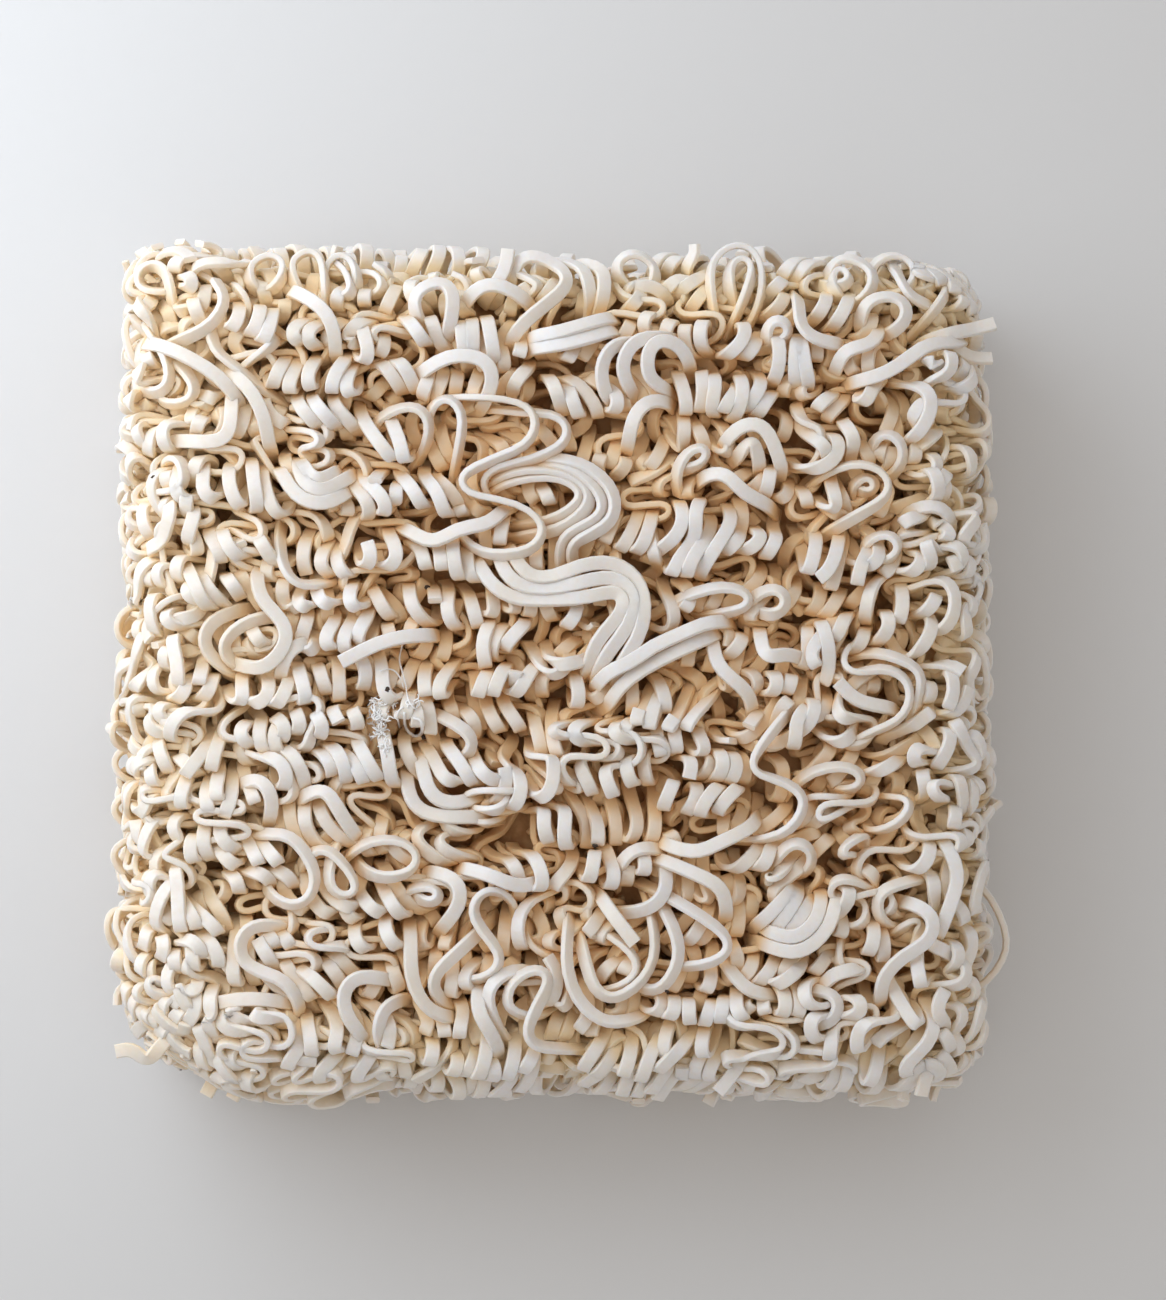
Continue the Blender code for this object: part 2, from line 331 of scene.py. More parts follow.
# Strands that the photograph shows clearly: how many lie side by side, how deep they lie below the
# top, their turn in degrees (0 with the wide face up, 90 on edge), whether each end dives (-) or is
# cut off (|), and the middle's places in X and Y.
SEEN_STRANDS = [
    # The S-shaped curls at the far left of the middle.
    (1, 0.2, 70, "--", [(-12.5, 26), (-8, 25.8), (-5, 25), (-4.2, 23), (-5.5, 20.8), (-9.5, 19),
                        (-12.3, 17.5), (-11.5, 15.8), (-9, 15.3), (-6, 14.5), (-4, 13.2),
                        (-3.4, 11.8), (-4.2, 10.2), (-6, 9.3), (-9, 9.2), (-10.8, 9.8)]),
    (1, 1.0, 65, "--", [(-8, 24.6), (-5, 24.3), (-3, 24.3), (-1.3, 23.6), (-0.8, 22), (-2, 20.5),
                        (-5, 19.2), (-8.5, 18.5), (-10, 17.5), (-10, 16.5)]),
    (1, 0.6, 60, "--", [(-15.5, 25), (-13.5, 26), (-12, 24), (-12.5, 20)]),
    (1, 0.8, 60, "--", [(-19.5, 24.5), (-17, 25), (-15.5, 23.5), (-15.8, 21)]),
    (2, 1.2, 45, "--", [(-9, 16.5), (-7, 17.5), (-4, 18), (-1.5, 17.8), (0.5, 16.8), (1.2, 15.5),
                        (0.3, 14), (-2, 12.5), (-5, 12)]),
    (2, 1.0, 40, "--", [(-4, 19.2), (-1, 19), (1, 18.2), (3.2, 16), (3.4, 13.5), (1.5, 12),
                        (-1, 10.8), (-1.5, 8.5)]),
    # The broad band of merged strands in the middle.
    (3, 0.3, 8, "--", [(-8.5, 9), (-7.5, 7.2), (-5.5, 5.8), (-2, 5.8), (1.5, 6.7), (4, 7),
                       (5.9, 5.6), (6, 3), (4.6, 0.6), (3.2, -1.2), (2.4, -3.2)]),
    (1, 0.2, 10, "--", [(2.6, -4.6), (3.6, -2.9), (5.4, -2.2), (8, -0.3), (11, 1), (13.5, 2.2),
                        (15.3, 2.6)]),
    (1, 0.7, 15, "--", [(3.2, -5.6), (5.2, -3.8), (8.6, -1.8), (11.6, -0.4), (14.2, 0.7)]),
    # Left of the middle.
    (1, 0.1, 10, "--", [(-17.5, 11.5), (-15, 10.5), (-12.5, 12), (-9.5, 12.5), (-8.2, 13.8)]),
    (1, 0.5, 60, "--", [(-31.5, 10), (-30.6, 7.5), (-29, 6), (-26.5, 6)]),
    (3, 0.3, 0, "--", [(-29.6, 18.6), (-28.6, 16.4), (-26.6, 15.8), (-24.6, 17)]),
    (1, 0.4, 0, "--", [(-36.2, 26.5), (-36.4, 22), (-38, 21), (-42, 21.3)]),
    (1, 0.2, 12, "--", [(-44.5, 31.8), (-40.5, 29.8), (-37.6, 27.8), (-36, 25.4)]),
    (1, 0.1, 10, "--", [(-36.4, 29), (-34.2, 26.5), (-32.9, 23.6), (-32.6, 21)]),
    # The far left corner.
    (1, 0.6, 50, "|-", [(-38.2, 38.4), (-37, 36), (-39, 33), (-43, 31.5)]),
    (1, 0.9, 50, "--", [(-39, 33), (-38, 30.5), (-36, 29), (-33.5, 27)]),
    (1, 0.5, 65, "--", [(-45, 33), (-43, 29.5), (-42.8, 27), (-44.5, 26.2), (-46, 26.8)]),
    (1, 0.7, 60, "--", [(-42, 29), (-40, 27), (-40.2, 25.5), (-41.5, 25)]),
    (1, 0.7, 60, "--", [(-42.6, 36.4), (-43.2, 38.8), (-44.6, 40.4), (-46.3, 40), (-46.6, 38.4),
                        (-45.4, 37.4), (-43.6, 37)]),
    (1, 0.6, 0, "--", [(-30, 37.3), (-27, 35.5), (-25.7, 33.5), (-25.3, 31)]),
    # Loops along the far edge.
    (1, 1.0, 75, "--", [(-34.8, 38.6), (-34.5, 40.5), (-32.5, 41.8), (-31, 40.5), (-31, 38.5)]),
    (1, 1.1, 75, "--", [(-30.5, 38.4), (-30.2, 41), (-28, 42.2), (-26.8, 40), (-26.5, 37)]),
    (1, 1.0, 75, "--", [(-26.8, 38.6), (-26.4, 41), (-25, 42), (-23.5, 40.5), (-23.2, 38)]),
    (1, 0.9, 75, "--", [(14, 38.4), (14.4, 40.6), (15.3, 42.3), (17.4, 43.4), (19.3, 42.6),
                        (20, 40.6), (19.8, 38)]),
    (1, 0.8, 65, "--", [(16.1, 38.6), (16.3, 40.2), (16.9, 41.6), (18.3, 42), (19, 40.2),
                        (17.7, 36.7)]),
    (1, 0.7, 55, "--", [(27.6, 41.3), (29.2, 41.9), (31, 41.3), (32.1, 39.7), (31.6, 37.5)]),
    (1, 0.5, 60, "--", [(27.4, 38.4), (27.3, 39.8), (28.3, 40.7), (29.6, 40), (29.4, 38.7),
                        (28.2, 38.3)]),
    (1, 0.9, 65, "--", [(31.6, 39.6), (32.1, 41.3), (33.7, 42.2), (35.6, 42.1), (36.7, 40.2),
                        (35.9, 38.1)]),
    (1, 0.7, 40, "--", [(34.8, 42.1), (34.8, 39.4), (35.6, 37), (36.7, 35.9)]),
    (1, 1.0, 65, "--", [(36.7, 38.8), (37, 40.5), (38.5, 40.7), (38.8, 39.1), (37.2, 37.8)]),
    (1, 1.0, 60, "--", [(39.4, 40.2), (40.1, 38.6), (39, 36.7), (38.3, 35.7)]),
    # The far right corner, with two ends that stick out.
    (1, 1.6, 5, "-|", [(37.6, 32.6), (40.1, 33.3), (42.3, 34.1), (45.2, 34.9)]),
    (1, 2.4, 15, "-|", [(38.6, 33.4), (40.4, 32.2), (42.5, 31.1), (44.9, 31.1)]),
    (1, 0.6, 30, "--", [(30.4, 34.4), (31, 36.5), (33.2, 37.3), (35, 36.7), (35.3, 34.9),
                        (34.3, 33.5)]),
    (1, 0.4, 10, "--", [(27.6, 29.8), (28.6, 31.4), (31.3, 31.9), (32.1, 33)]),
    (1, 0.3, 10, "--", [(30, 28.2), (32.4, 28.7), (34.8, 30.1), (36.6, 31.7), (39.3, 33)]),
    (1, 0.5, 50, "--", [(19.8, 32.6), (20.4, 34.1), (21.7, 34.6), (22.8, 33.5), (22.4, 32)]),
    (1, 0.3, 10, "--", [(23.6, 35.9), (23.9, 33.5), (26, 32.2), (27.9, 31.9)]),
    (3, 0.2, 0, "--", [(23, 31.8), (22.9, 28.9)]),
    # Rows on the right, behind the middle.
    (1, 0.4, 60, "--", [(11, 19.9), (12.7, 21), (14, 20.7), (13.7, 19.4), (12.5, 18.5)]),
    (2, 0.4, 10, "--", [(16.4, 20.7), (17.7, 22.2), (19.3, 22.4), (20.4, 19.4)]),
    (1, 0.5, 55, "--", [(31.9, 22), (33.2, 22.5), (34.6, 21.4), (34.8, 19.8)]),
    (1, 0.2, 60, "--", [(27.9, 18.9), (30.3, 19.2), (32.4, 18.4), (33.3, 16.8), (32.5, 15.3),
                        (30.3, 14), (28.1, 13)]),
    (1, 1.2, 60, "--", [(29.8, 17.8), (31, 18), (31.9, 17.2), (31.4, 16.2), (30.2, 16.3)]),
    (1, 0.2, 10, "--", [(13.5, 18.2), (15, 18.3), (16.4, 17.6), (17.3, 16.2), (19.9, 14.7)]),
    (1, 0.3, 55, "--", [(31.3, 10.9), (33.2, 11.7), (34.5, 10.3), (33.7, 8.5)]),
    (1, 0.5, 30, "--", [(36.3, 14.5), (38.6, 14.7), (39.8, 13)]),
    # In front of the middle, to the right.
    (1, 0.3, 55, "--", [(12, 5), (15, 6), (18, 5.5), (18.3, 4), (16, 3)]),
    (1, 0.2, 50, "--", [(19, 5), (21, 6), (22.3, 5), (21.8, 3.6), (20.6, 3.2)]),
    (1, 0.1, 5, "--", [(19, 1), (20, -1.5), (22, -1), (23.7, -1.3)]),
    (1, 0.8, 15, "--", [(14.5, 0), (15, -2.5), (18, -5), (19, -6.5)]),
    (1, 0.3, 60, "--", [(22.2, -7.3), (20, -10), (18.3, -12.5), (19, -13.8), (21, -14.2),
                        (23.5, -15.5), (24, -17), (22.5, -19.5), (20, -20.5)]),
    (1, 0.3, 65, "--", [(28.5, -1), (28.2, -2.5), (29.5, -3.2), (32, -2.5), (34.5, -3.3),
                        (35.3, -5.5), (34, -8), (31, -9.2), (29.5, -9.8)]),
    (1, 0.6, 60, "--", [(30.5, -0.8), (33, -1.2), (36, -2.5), (36.5, -4), (36.2, -6.5)]),
    (1, 0.1, 5, "|-", [(27.5, -4), (29.5, -6), (33, -6.7)]),
    (1, 0.7, 60, "--", [(24, -13.8), (26, -13), (29, -13), (30.2, -14.4), (28.6, -15.8)]),
    (1, 0.2, 0, "--", [(39, -21), (40.3, -24), (39.5, -27), (38, -30)]),
    # Left of the middle, in front: an oval hole, loose strips and a row of leaning ones.
    (1, 0.3, 25, "--", [(-33.5, 6.8), (-32.9, 4.4), (-30.8, 2.3), (-30.1, 0.4), (-30.8, -1.4),
                        (-32.9, -2.9), (-35.1, -2.4)]),
    (1, 0.7, 40, "--", [(-31.6, 2.8), (-34, 2.3), (-36.1, 1.1), (-37.2, -0.4), (-36.5, -1.9)]),
    (1, 1.2, 45, "--", [(-35.6, 3.6), (-38, 2.3), (-39.1, 0.7), (-38.8, -0.9), (-37.5, -2.2)]),
    (1, 0.1, 0, "--", [(-30.4, -3), (-30.5, -1.4), (-29.7, -0.3), (-28.5, 0)]),
    (1, 0.0, 0, "|-", [(-24.7, -2.1), (-21.7, -0.5), (-19.9, 0.2), (-18, 0.6), (-15.6, 0.6)]),
    (1, 0.5, 40, "--", [(-14.5, -8), (-12.1, -8.9), (-10.6, -10.3), (-11, -11.8)]),
    (1, 0.1, 5, "--", [(-28, -15.8), (-26, -15.3), (-24.7, -17.7), (-23.1, -20.1)]),
    (1, 0.3, 20, "--", [(-34.3, -14.6), (-32.7, -14.3), (-31.6, -16.2), (-31.6, -18)]),
    (1, 0.8, 15, "--", [(-16.3, -13), (-15.3, -15.9), (-13.5, -16.9), (-10, -16.7)]),
    (1, 1.0, 15, "--", [(-18.3, -13.8), (-16.9, -17.2), (-14, -18.2), (-10, -18)]),
    # The near left: a coil and three open loops.
    (1, 0.4, 55, "--", [(-33, -20.2), (-29.8, -20.2), (-27.5, -23), (-27.1, -25.2), (-28.2, -27.2),
                        (-30.3, -27.3), (-31.9, -25.7)]),
    (1, 0.3, 60, "--", [(-27.9, -21.7), (-26, -21.5), (-24.1, -23.3), (-22.8, -25.4),
                        (-23.3, -26.5), (-24.9, -26.5), (-25.9, -25.2), (-25.7, -22.8)]),
    (1, 0.5, 60, "--", [(-22.2, -20.8), (-20.4, -20.5), (-18, -20.8), (-16.4, -22.3),
                        (-17.3, -24), (-20, -24.6), (-22, -24)]),
    # The near right: longer, looser loops.
    (1, 0.3, 40, "--", [(4.5, -22.6), (5.8, -21.6), (7.5, -21.3)]),
    (1, 0.1, 5, "-|", [(2.6, -27.2), (4.5, -29.4), (6.1, -31.4)]),
    (1, 0.8, 20, "--", [(9.7, -23.9), (9.4, -26.2), (7.8, -27.8), (5.5, -28.5)]),
    (1, 0.6, 60, "--", [(3.3, -30.7), (5.5, -32.1), (6.5, -33.9), (5.6, -35.4), (3.6, -36.4)]),
    (1, 0.5, 55, "--", [(7.8, -28.5), (8.2, -32.3), (6.9, -35.2), (3.9, -37.2), (1.8, -36),
                        (0.6, -32)]),
    (1, 0.4, 50, "--", [(9.4, -27.8), (10.7, -31.4), (10.4, -33.9), (8.9, -36), (7.4, -36.4)]),
    (1, 0.3, 50, "--", [(-1, -29.7), (-1, -34), (0.3, -37.4), (2.9, -39.5), (5.5, -39.4)]),
    (1, 0.2, 55, "--", [(9.9, -26.8), (12.9, -28.5), (15.7, -30.6), (15.9, -32.3), (13.9, -33.5),
                        (11.3, -33.9)]),
    (1, 0.4, 15, "--", [(10, -23), (12.6, -24.2), (15.2, -25.5), (15.9, -27.8)]),
    (1, 0.2, 10, "--", [(10.4, -21.7), (12.9, -22), (15.8, -20.6), (19.1, -19.6)]),
    (1, 0.6, 55, "--", [(21, -22), (22.8, -20.6), (24.6, -21.4), (24.8, -23)]),
    (1, 0.3, 55, "--", [(31.3, -28.1), (31.8, -26), (34.9, -25.1)]),
    (3, 0.2, 5, "--", [(21.2, -29.4), (23, -27.2)]),
    (1, 0.2, 20, "--", [(35.2, -27.2), (37.4, -28.5), (37.1, -31), (33.9, -33), (32, -35.2),
                        (31.6, -37.5)]),
    (2, 0.2, 8, "--", [(20.6, -31.2), (23.3, -31.6), (25.8, -29.4), (26.7, -26.8)]),
    (1, 0.4, 30, "--", [(16.2, -34.4), (17.8, -36.3), (20, -37)]),
    (1, 0.4, 40, "--", [(24.9, -36), (27.4, -37), (27, -39.3), (24.9, -39.6)]),
    # Loops at the right edge.
    (1, 4.0, 75, "--", [(40.7, -30.6), (43.4, -29.4), (44.3, -30.7), (42, -31.9)]),
    (1, 6.0, 80, "--", [(42.6, -24.6), (44.6, -27.4), (45.9, -31.7), (44, -35.2), (40.4, -37.4)]),
    # The far middle: merged strips, a loop round a brown hollow and three coils side by side.
    (1, 0.3, 30, "--", [(-17.5, 35), (-17.3, 36.8), (-15.8, 38.1), (-13.8, 38.4), (-13, 36.5),
                        (-13.4, 33)]),
    (1, 0.2, 20, "--", [(-11.4, 37), (-9.7, 38.2), (-7.6, 37.9), (-5.6, 36.5)]),
    (1, 0.9, 25, "--", [(-6.4, 39.6), (-6, 41.3), (-4.7, 42), (-2.8, 41.3), (-1.2, 40),
                        (-0.9, 38.4), (-2, 37), (-4.2, 35.2), (-6, 33.5), (-6.9, 32.2)]),
    (1, 0.7, 0, "|-", [(-7.1, 42.5), (-7.4, 40), (-8.2, 38.2)]),
    (1, 0.5, 30, "--", [(-1, 41.4), (0.9, 40.2), (1.4, 37.2)]),
    (1, 0.5, 30, "--", [(1.6, 41.1), (3, 40), (3.1, 37.4)]),
    (1, 1.0, 70, "--", [(4.2, 39.8), (5, 41.8), (6.8, 42.2), (8.3, 40.9), (8.7, 39.4)]),
    (3, 0.1, 0, "--", [(-10.9, 33.3), (-10.5, 30.8)]),
    (1, 0.2, 15, "--", [(-15.8, 28.9), (-13.5, 30.3), (-11, 30.4), (-9.2, 29.6), (-8.9, 27.7),
                        (-9.8, 25.8)]),
    (2, 0.1, 5, "--", [(-4.5, 32), (-1.8, 32.3), (0.8, 33), (3.7, 33.8)]),
    (1, 0.2, 20, "--", [(6.2, 32.3), (4, 31.8), (2.8, 30.2), (2.6, 28.3), (3.3, 26.6)]),
    (1, 0.2, 20, "--", [(9, 32.5), (6.6, 32.4), (5.2, 31), (4.6, 29), (5.1, 27.2)]),
    (1, 0.1, 15, "--", [(11.8, 30.8), (10.6, 32), (8.6, 32.3), (7.6, 31.2), (7.4, 29.3),
                        (7.8, 27.8), (9, 26.8)]),
    (1, 0.2, 15, "--", [(5.4, 21.4), (6.1, 24.2), (7.6, 25.7), (9.2, 25.7)]),
    # The near left: wide flat loops and an S curl.
    (1, 0.3, 40, "--", [(-31.5, -29.8), (-33.6, -29.5), (-35, -30.7), (-34.8, -33),
                        (-33, -34.2), (-30.8, -34.8), (-29.4, -36), (-28.8, -37.2)]),
    (1, 0.8, 5, "|-", [(-37, -37.5), (-34.2, -37), (-30, -37.2)]),
    (1, 0.5, 20, "--", [(-20.4, -34.6), (-22.9, -34.7), (-24.3, -36.3), (-24, -38.6),
                        (-22.4, -41.2)]),
    (1, 0.5, 25, "--", [(-18.4, -37), (-19.9, -38), (-20.6, -40.2), (-20.3, -42)]),
    (1, 0.3, 20, "--", [(-17.2, -31), (-17.1, -35), (-15.6, -38), (-13.4, -39.4)]),
    (1, 0.5, 35, "--", [(-10.5, -30.2), (-12.5, -32.4), (-14.6, -34.3), (-15, -36),
                        (-14, -37.3)]),
    (1, 0.3, 60, "--", [(-7.6, -26.4), (-9.2, -25.7), (-10.8, -27), (-10.7, -28.8),
                        (-9, -31), (-7.8, -32.8), (-8.4, -34.5), (-10.6, -35.3)]),
    (1, 0.2, 20, "--", [(-14.6, -24.3), (-12.4, -24.9), (-12, -27), (-13.4, -29.3)]),
    (1, 0.4, 60, "--", [(-15.6, -25), (-14, -25.9), (-14.7, -27.3), (-16.6, -26.9)]),
    (1, 0.1, 5, "--", [(-11.4, -23.6), (-9, -24.3), (-6.2, -25.6), (-4.8, -25.3)]),
    (1, 0.2, 15, "--", [(-10.6, -36.4), (-10.3, -38.5), (-8.8, -40.8), (-8.2, -42.3)]),
    (1, 0.3, 50, "--", [(-8.8, -38.8), (-9.4, -36.4), (-8.3, -34.6), (-6.3, -33.9)]),
    (1, 0.2, 50, "--", [(-5, -38.9), (-7.2, -38), (-7, -35.7), (-5.2, -34.2), (-3.5, -34),
                        (-2.7, -35.3), (-4.4, -38.6), (-5.2, -40.5), (-4.4, -42), (-1.5, -42.3)]),
    (1, 1.6, 10, "|-", [(15, -47), (16.4, -45.2), (17.4, -43)]),
    # Loops and stray ends that stand out of the left side and its near corner.
    (1, 9.0, 80, "--", [(-44.4, 3.8), (-46.8, 4), (-48.3, 2.6), (-48.1, 0.4), (-46, -0.4)]),
    (1, 9.0, 80, "--", [(-44.6, -5.4), (-47.2, -5.3), (-48.7, -7), (-48.3, -9.2), (-46, -9.8)]),
    (1, 10.0, 75, "--", [(-45, -11), (-47.6, -11), (-48.8, -12.6), (-47.6, -14.3), (-45.4, -14.6)]),
    (1, 8.0, 75, "--", [(-44.6, -15.8), (-47.6, -16), (-48.9, -17.6), (-47.4, -19.2)]),
    (1, 8.0, 75, "--", [(-44.6, -20.6), (-47.4, -20.8), (-48.8, -22.3), (-47.2, -24.4)]),
    (1, 9.0, 75, "--", [(-43.6, -27.3), (-46, -26.8), (-47.9, -28.2), (-47.5, -30), (-45.6, -31)]),
    (1, 10.0, 75, "--", [(-44.4, -32.6), (-46.6, -32.3), (-48.2, -33.4), (-47.9, -34.9),
                         (-46.3, -35)]),
    (1, 9.0, 60, "-|", [(-44.6, -36), (-46.6, -35.6), (-48, -36.2), (-47.9, -37.9)]),
    (1, 8.0, 60, "--", [(-44.2, -38.2), (-46.2, -38.7), (-46.4, -40.1), (-45, -40.9)]),
    (1, 1.2, 10, "|-", [(-47.9, -42.6), (-46, -42.2), (-44.9, -43.9), (-43.8, -42.8), (-42.6, -41),
                        (-41.3, -41.6), (-40.2, -43.4), (-38, -43.9)]),
    (1, 7.5, 20, "--", [(-45.6, -41.4), (-44, -40.2), (-42.3, -40.4), (-40.8, -41.9)]),
    (1, 8.0, 10, "|-", [(-38.6, -47.4), (-37.6, -45.6), (-36.8, -43.6)]),
    (1, 8.0, 15, "|-", [(-36, -47.6), (-35, -45.8), (-33.6, -43.6)]),
]


# Random but smooth


def smooth_noise(chance, shortest, longest, count=4):
    """A smooth function of one length, mostly between -1 and 1."""
    steps = TAU / np.exp(chance.uniform(math.log(shortest), math.log(longest), count))
    phases = chance.uniform(0, TAU, count)
    return lambda at: np.sin(np.multiply.outer(at, steps) + phases).sum(-1) / math.sqrt(count)


def plane_noise(chance, shortest, longest, count=7):
    """A smooth function of two lengths, mostly between -1 and 1."""
    steps = TAU / np.exp(chance.uniform(math.log(shortest), math.log(longest), count))
    turns = chance.uniform(0, TAU, count)
    phases = chance.uniform(0, TAU, count)

    def noise(x, y):
        waves = np.multiply.outer(x, steps * np.cos(turns))
        waves = waves + np.multiply.outer(y, steps * np.sin(turns))
        return np.sin(waves + phases).sum(-1) / math.sqrt(count)

    return noise


def smooth_step(low, high, at):
    share = np.clip((at - low) / (high - low), 0, 1)
    return share * share * (3 - 2 * share)


def unit(vectors):
    return vectors / np.maximum(np.linalg.norm(vectors, axis=-1, keepdims=True), 1e-9)


# The block's outline


def corner_radius(x, y):
    """The radius of the upright edge that is nearest to a place."""
    right = smooth_step(-CORNER_BLEND, CORNER_BLEND, x)
    back = smooth_step(-CORNER_BLEND, CORNER_BLEND, y)
    front = CORNER_RADII[-1, -1] * (1 - right) + CORNER_RADII[1, -1] * right
    rear = CORNER_RADII[-1, 1] * (1 - right) + CORNER_RADII[1, 1] * right
    return front * (1 - back) + rear * back


def rounded(a, b, radius):
    """The distance past two walls that meet in a rounded edge, and the way out across each."""
    a = a + radius
    b = b + radius
    out_a = np.maximum(a, 0)
    out_b = np.maximum(b, 0)
    far = np.hypot(out_a, out_b)
    distance = far + np.minimum(np.maximum(a, b), 0) - radius
    safe = np.maximum(far, 1e-9)
    way_a = np.where(far > 0, out_a / safe, a > b)
    way_b = np.where(far > 0, out_b / safe, a <= b)
    return distance, way_a, way_b


def outline_depth(points):
    """How deep points lie under the block's rounded outline, and the way out at each."""
    x, y, z = points.T
    inset = DRAFT * np.clip(z, 0, HEIGHT) / HEIGHT
    past_x = np.abs(x) - (LENGTH / 2 - inset)
    past_y = np.abs(y) - (WIDTH / 2 - inset)
    wall, way_x, way_y = rounded(past_x, past_y, corner_radius(x, y))
    upper = z > HEIGHT / 2
    cap = np.where(upper, z - HEIGHT, -z)
    edge = np.where(upper, TOP_EDGE_RADIUS, BASE_EDGE_RADIUS)
    distance, way_wall, way_cap = rounded(wall, cap, edge)
    way = np.stack(
        [
            way_wall * way_x * np.sign(x),
            way_wall * way_y * np.sign(y),
            way_cap * np.where(upper, 1.0, -1.0),
        ],
        1,
    )
    return -distance, way


def shown_depth(way):
    """How deep strands are kept, where the nearest surface faces the given way."""
    up = np.maximum(way[:, 2], 0) ** 2
    down = np.maximum(-way[:, 2], 0) ** 2
    return TOP_DEPTH * up + BASE_DEPTH * down + WALL_DEPTH * (1 - up - down)


# Laying the strands that the photograph shows


def smooth_curve(corners):
    """Rows at short even steps on a smooth curve through the given places."""
    corners = np.array(corners, float)
    if len(corners) == 2:
        return corners[0] + np.linspace(0, 1, LINE_STEPS)[:, None] * (corners[1] - corners[0])
    ends = 2 * corners[0] - corners[1], 2 * corners[-1] - corners[-2]
    padded = np.vstack([ends[0], corners, ends[1]])
    share = np.linspace(0, 1, CURVE_STEPS, endpoint=False)[:, None]
    stretches = []
    for p0, p1, p2, p3 in zip(padded, padded[1:], padded[2:], padded[3:]):
        pull = (p2 - p0) / 2, (p3 - p1) / 2
        bend = 3 * (p2 - p1) - 2 * pull[0] - pull[1]
        twist = 2 * (p1 - p2) + pull[0] + pull[1]
        stretches.append(p1 + share * (pull[0] + share * (bend + share * twist)))
    return np.vstack([*stretches, corners[-1]])


def on_block(places, depth):
    """Where places measured on the photograph lie on the block, at a depth below its top."""
    slant = np.array(VIEW_SLANT) + places / VIEW_DISTANCE
    return places * SEEN_SCALE + SEEN_SHIFT + slant * depth


def tail(place, heading, bend, drop):
    """The way a strand goes on below others: it keeps its bend and turns down by the drop."""
    at = np.linspace(0, TAIL_LENGTH, TAIL_STEPS)[1:]
    step = at[1] - at[0]
    turn = heading + bend * at
    down = math.radians(drop) * smooth_step(0, TAIL_BEND_LENGTH, at)
    steps = np.stack([np.cos(turn) * np.cos(down), np.sin(turn) * np.cos(down), -np.sin(down)], 1)
    return place + step * np.cumsum(steps, axis=0)


def end_tail(curve, turn):
    """The tail after a curve's last place."""
    share = abs(math.sin(math.radians(turn)))
    drop = FLAT_TAIL_DROP + (EDGE_TAIL_DROP - FLAT_TAIL_DROP) * share
    ways = np.diff(curve[:, :2], axis=0)
    headings = np.unwrap(np.arctan2(ways[:, 1], ways[:, 0]))
    length = np.linalg.norm(ways, axis=1)
    back = min(len(headings), max(int(TAIL_LOOK_BACK / length.mean()), 2))
    bend = (headings[-1] - headings[-back]) / max(length[-back:].sum(), 1e-6)
    bend = share * np.clip(bend, -TAIL_MOST_BEND, TAIL_MOST_BEND)
    return tail(curve[-1], headings[-1], bend, drop)


def with_tails(curve, turn, ends):
    """A curve with its ends led down into the block where they aren't cut, and its first row."""
    before = end_tail(curve[::-1], turn)[::-1] if ends[0] == "-" else curve[:0]
    after = end_tail(curve, turn) if ends[1] == "-" else curve[:0]
    return np.vstack([before, curve, after]), len(before)


def seen_middle(corners, ends):
    """The middle line of a seen strand or band in X and Y, at even steps."""
    middle = smooth_curve(corners)
    middle = even_steps(np.column_stack([middle, np.zeros(len(middle))]), SEEN_STEP)[:, :2]
    trim = [int(END_TRIM / SEEN_STEP) * (kind == "-") for kind in ends]
    if len(middle) > TRIMMED_ROWS:
        middle = middle[trim[0] : len(middle) - trim[1]]
    return middle


def end_sink(at, ends):
    """How far a seen strand has sunk at lengths along it, towards each end that dives."""
    sink = np.zeros(len(at))
    for kind, to_end in zip(ends, (at, at[-1] - at)):
        if kind == "-":
            sink = sink + END_SINK * (1 - smooth_step(0, END_SINK_LENGTH, to_end)) ** 2
    return sink


def seen_strand(places, tilt, turn, ends, band):
    """One seen strand's rows, with its tails. Its wide face is tilted along its run."""
    curve, before = with_tails(places, turn, ends)
    curve[:, 2:] -= rim_drop(curve[:, :2])
    here = np.zeros(len(curve))
    here[before : before + len(places)] = 1
    tilt = np.interp(np.arange(len(curve)) - before, np.arange(len(places)), tilt)[:, None]
    along = unit(np.gradient(curve, axis=0))
    flat = unit(np.cross(along, (0.0, 0.0, 1.0)))
    across = np.cos(tilt) * flat + np.sin(tilt) * np.cross(flat, along)
    return np.column_stack([curve, across, here, np.full(len(curve), band)])


def lay_seen(chance):
    """The strands in SEEN_STRANDS.

    Column 6 is 1 where a strand is seen, and column 7 holds the number of its band.
    """
    strands = []
    for band, (count, depth, turn, ends, corners) in enumerate(SEEN_STRANDS, 1):
        middle = seen_middle(corners, ends)
        way = unit(np.gradient(middle, axis=0))
        square = np.stack([way[:, 1], -way[:, 0]], 1)
        lean = math.radians(turn)
        spacing = 1 / max(math.cos(lean) / STRAND_WIDTH, math.sin(lean) / STRAND_THICKNESS)
        at = SEEN_STEP * np.arange(len(middle))
        sink = end_sink(at, ends)
        roll = smooth_noise(chance, *ROLL_WAVERS)
        fan = BAND_SPREAD + BAND_FAN * smooth_noise(chance, *FAN_WAVERS)(at)
        play = math.radians(BAND_ROLL_PLAY if count > 1 else ROLL_PLAY)
        for index in range(count):
            offset = (fan * spacing * (index - (count - 1) / 2))[:, None]
            tilt = lean + play * roll(at)
            thick = STRAND_THICKNESS * np.cos(tilt) / 2 + STRAND_WIDTH * np.abs(np.sin(tilt)) / 2
            below = (depth + sink + thick)[:, None]
            places = np.hstack([on_block(middle + offset * square, below), HEIGHT - below])
            strands.append(seen_strand(places, tilt, turn, ends, band))
    return strands


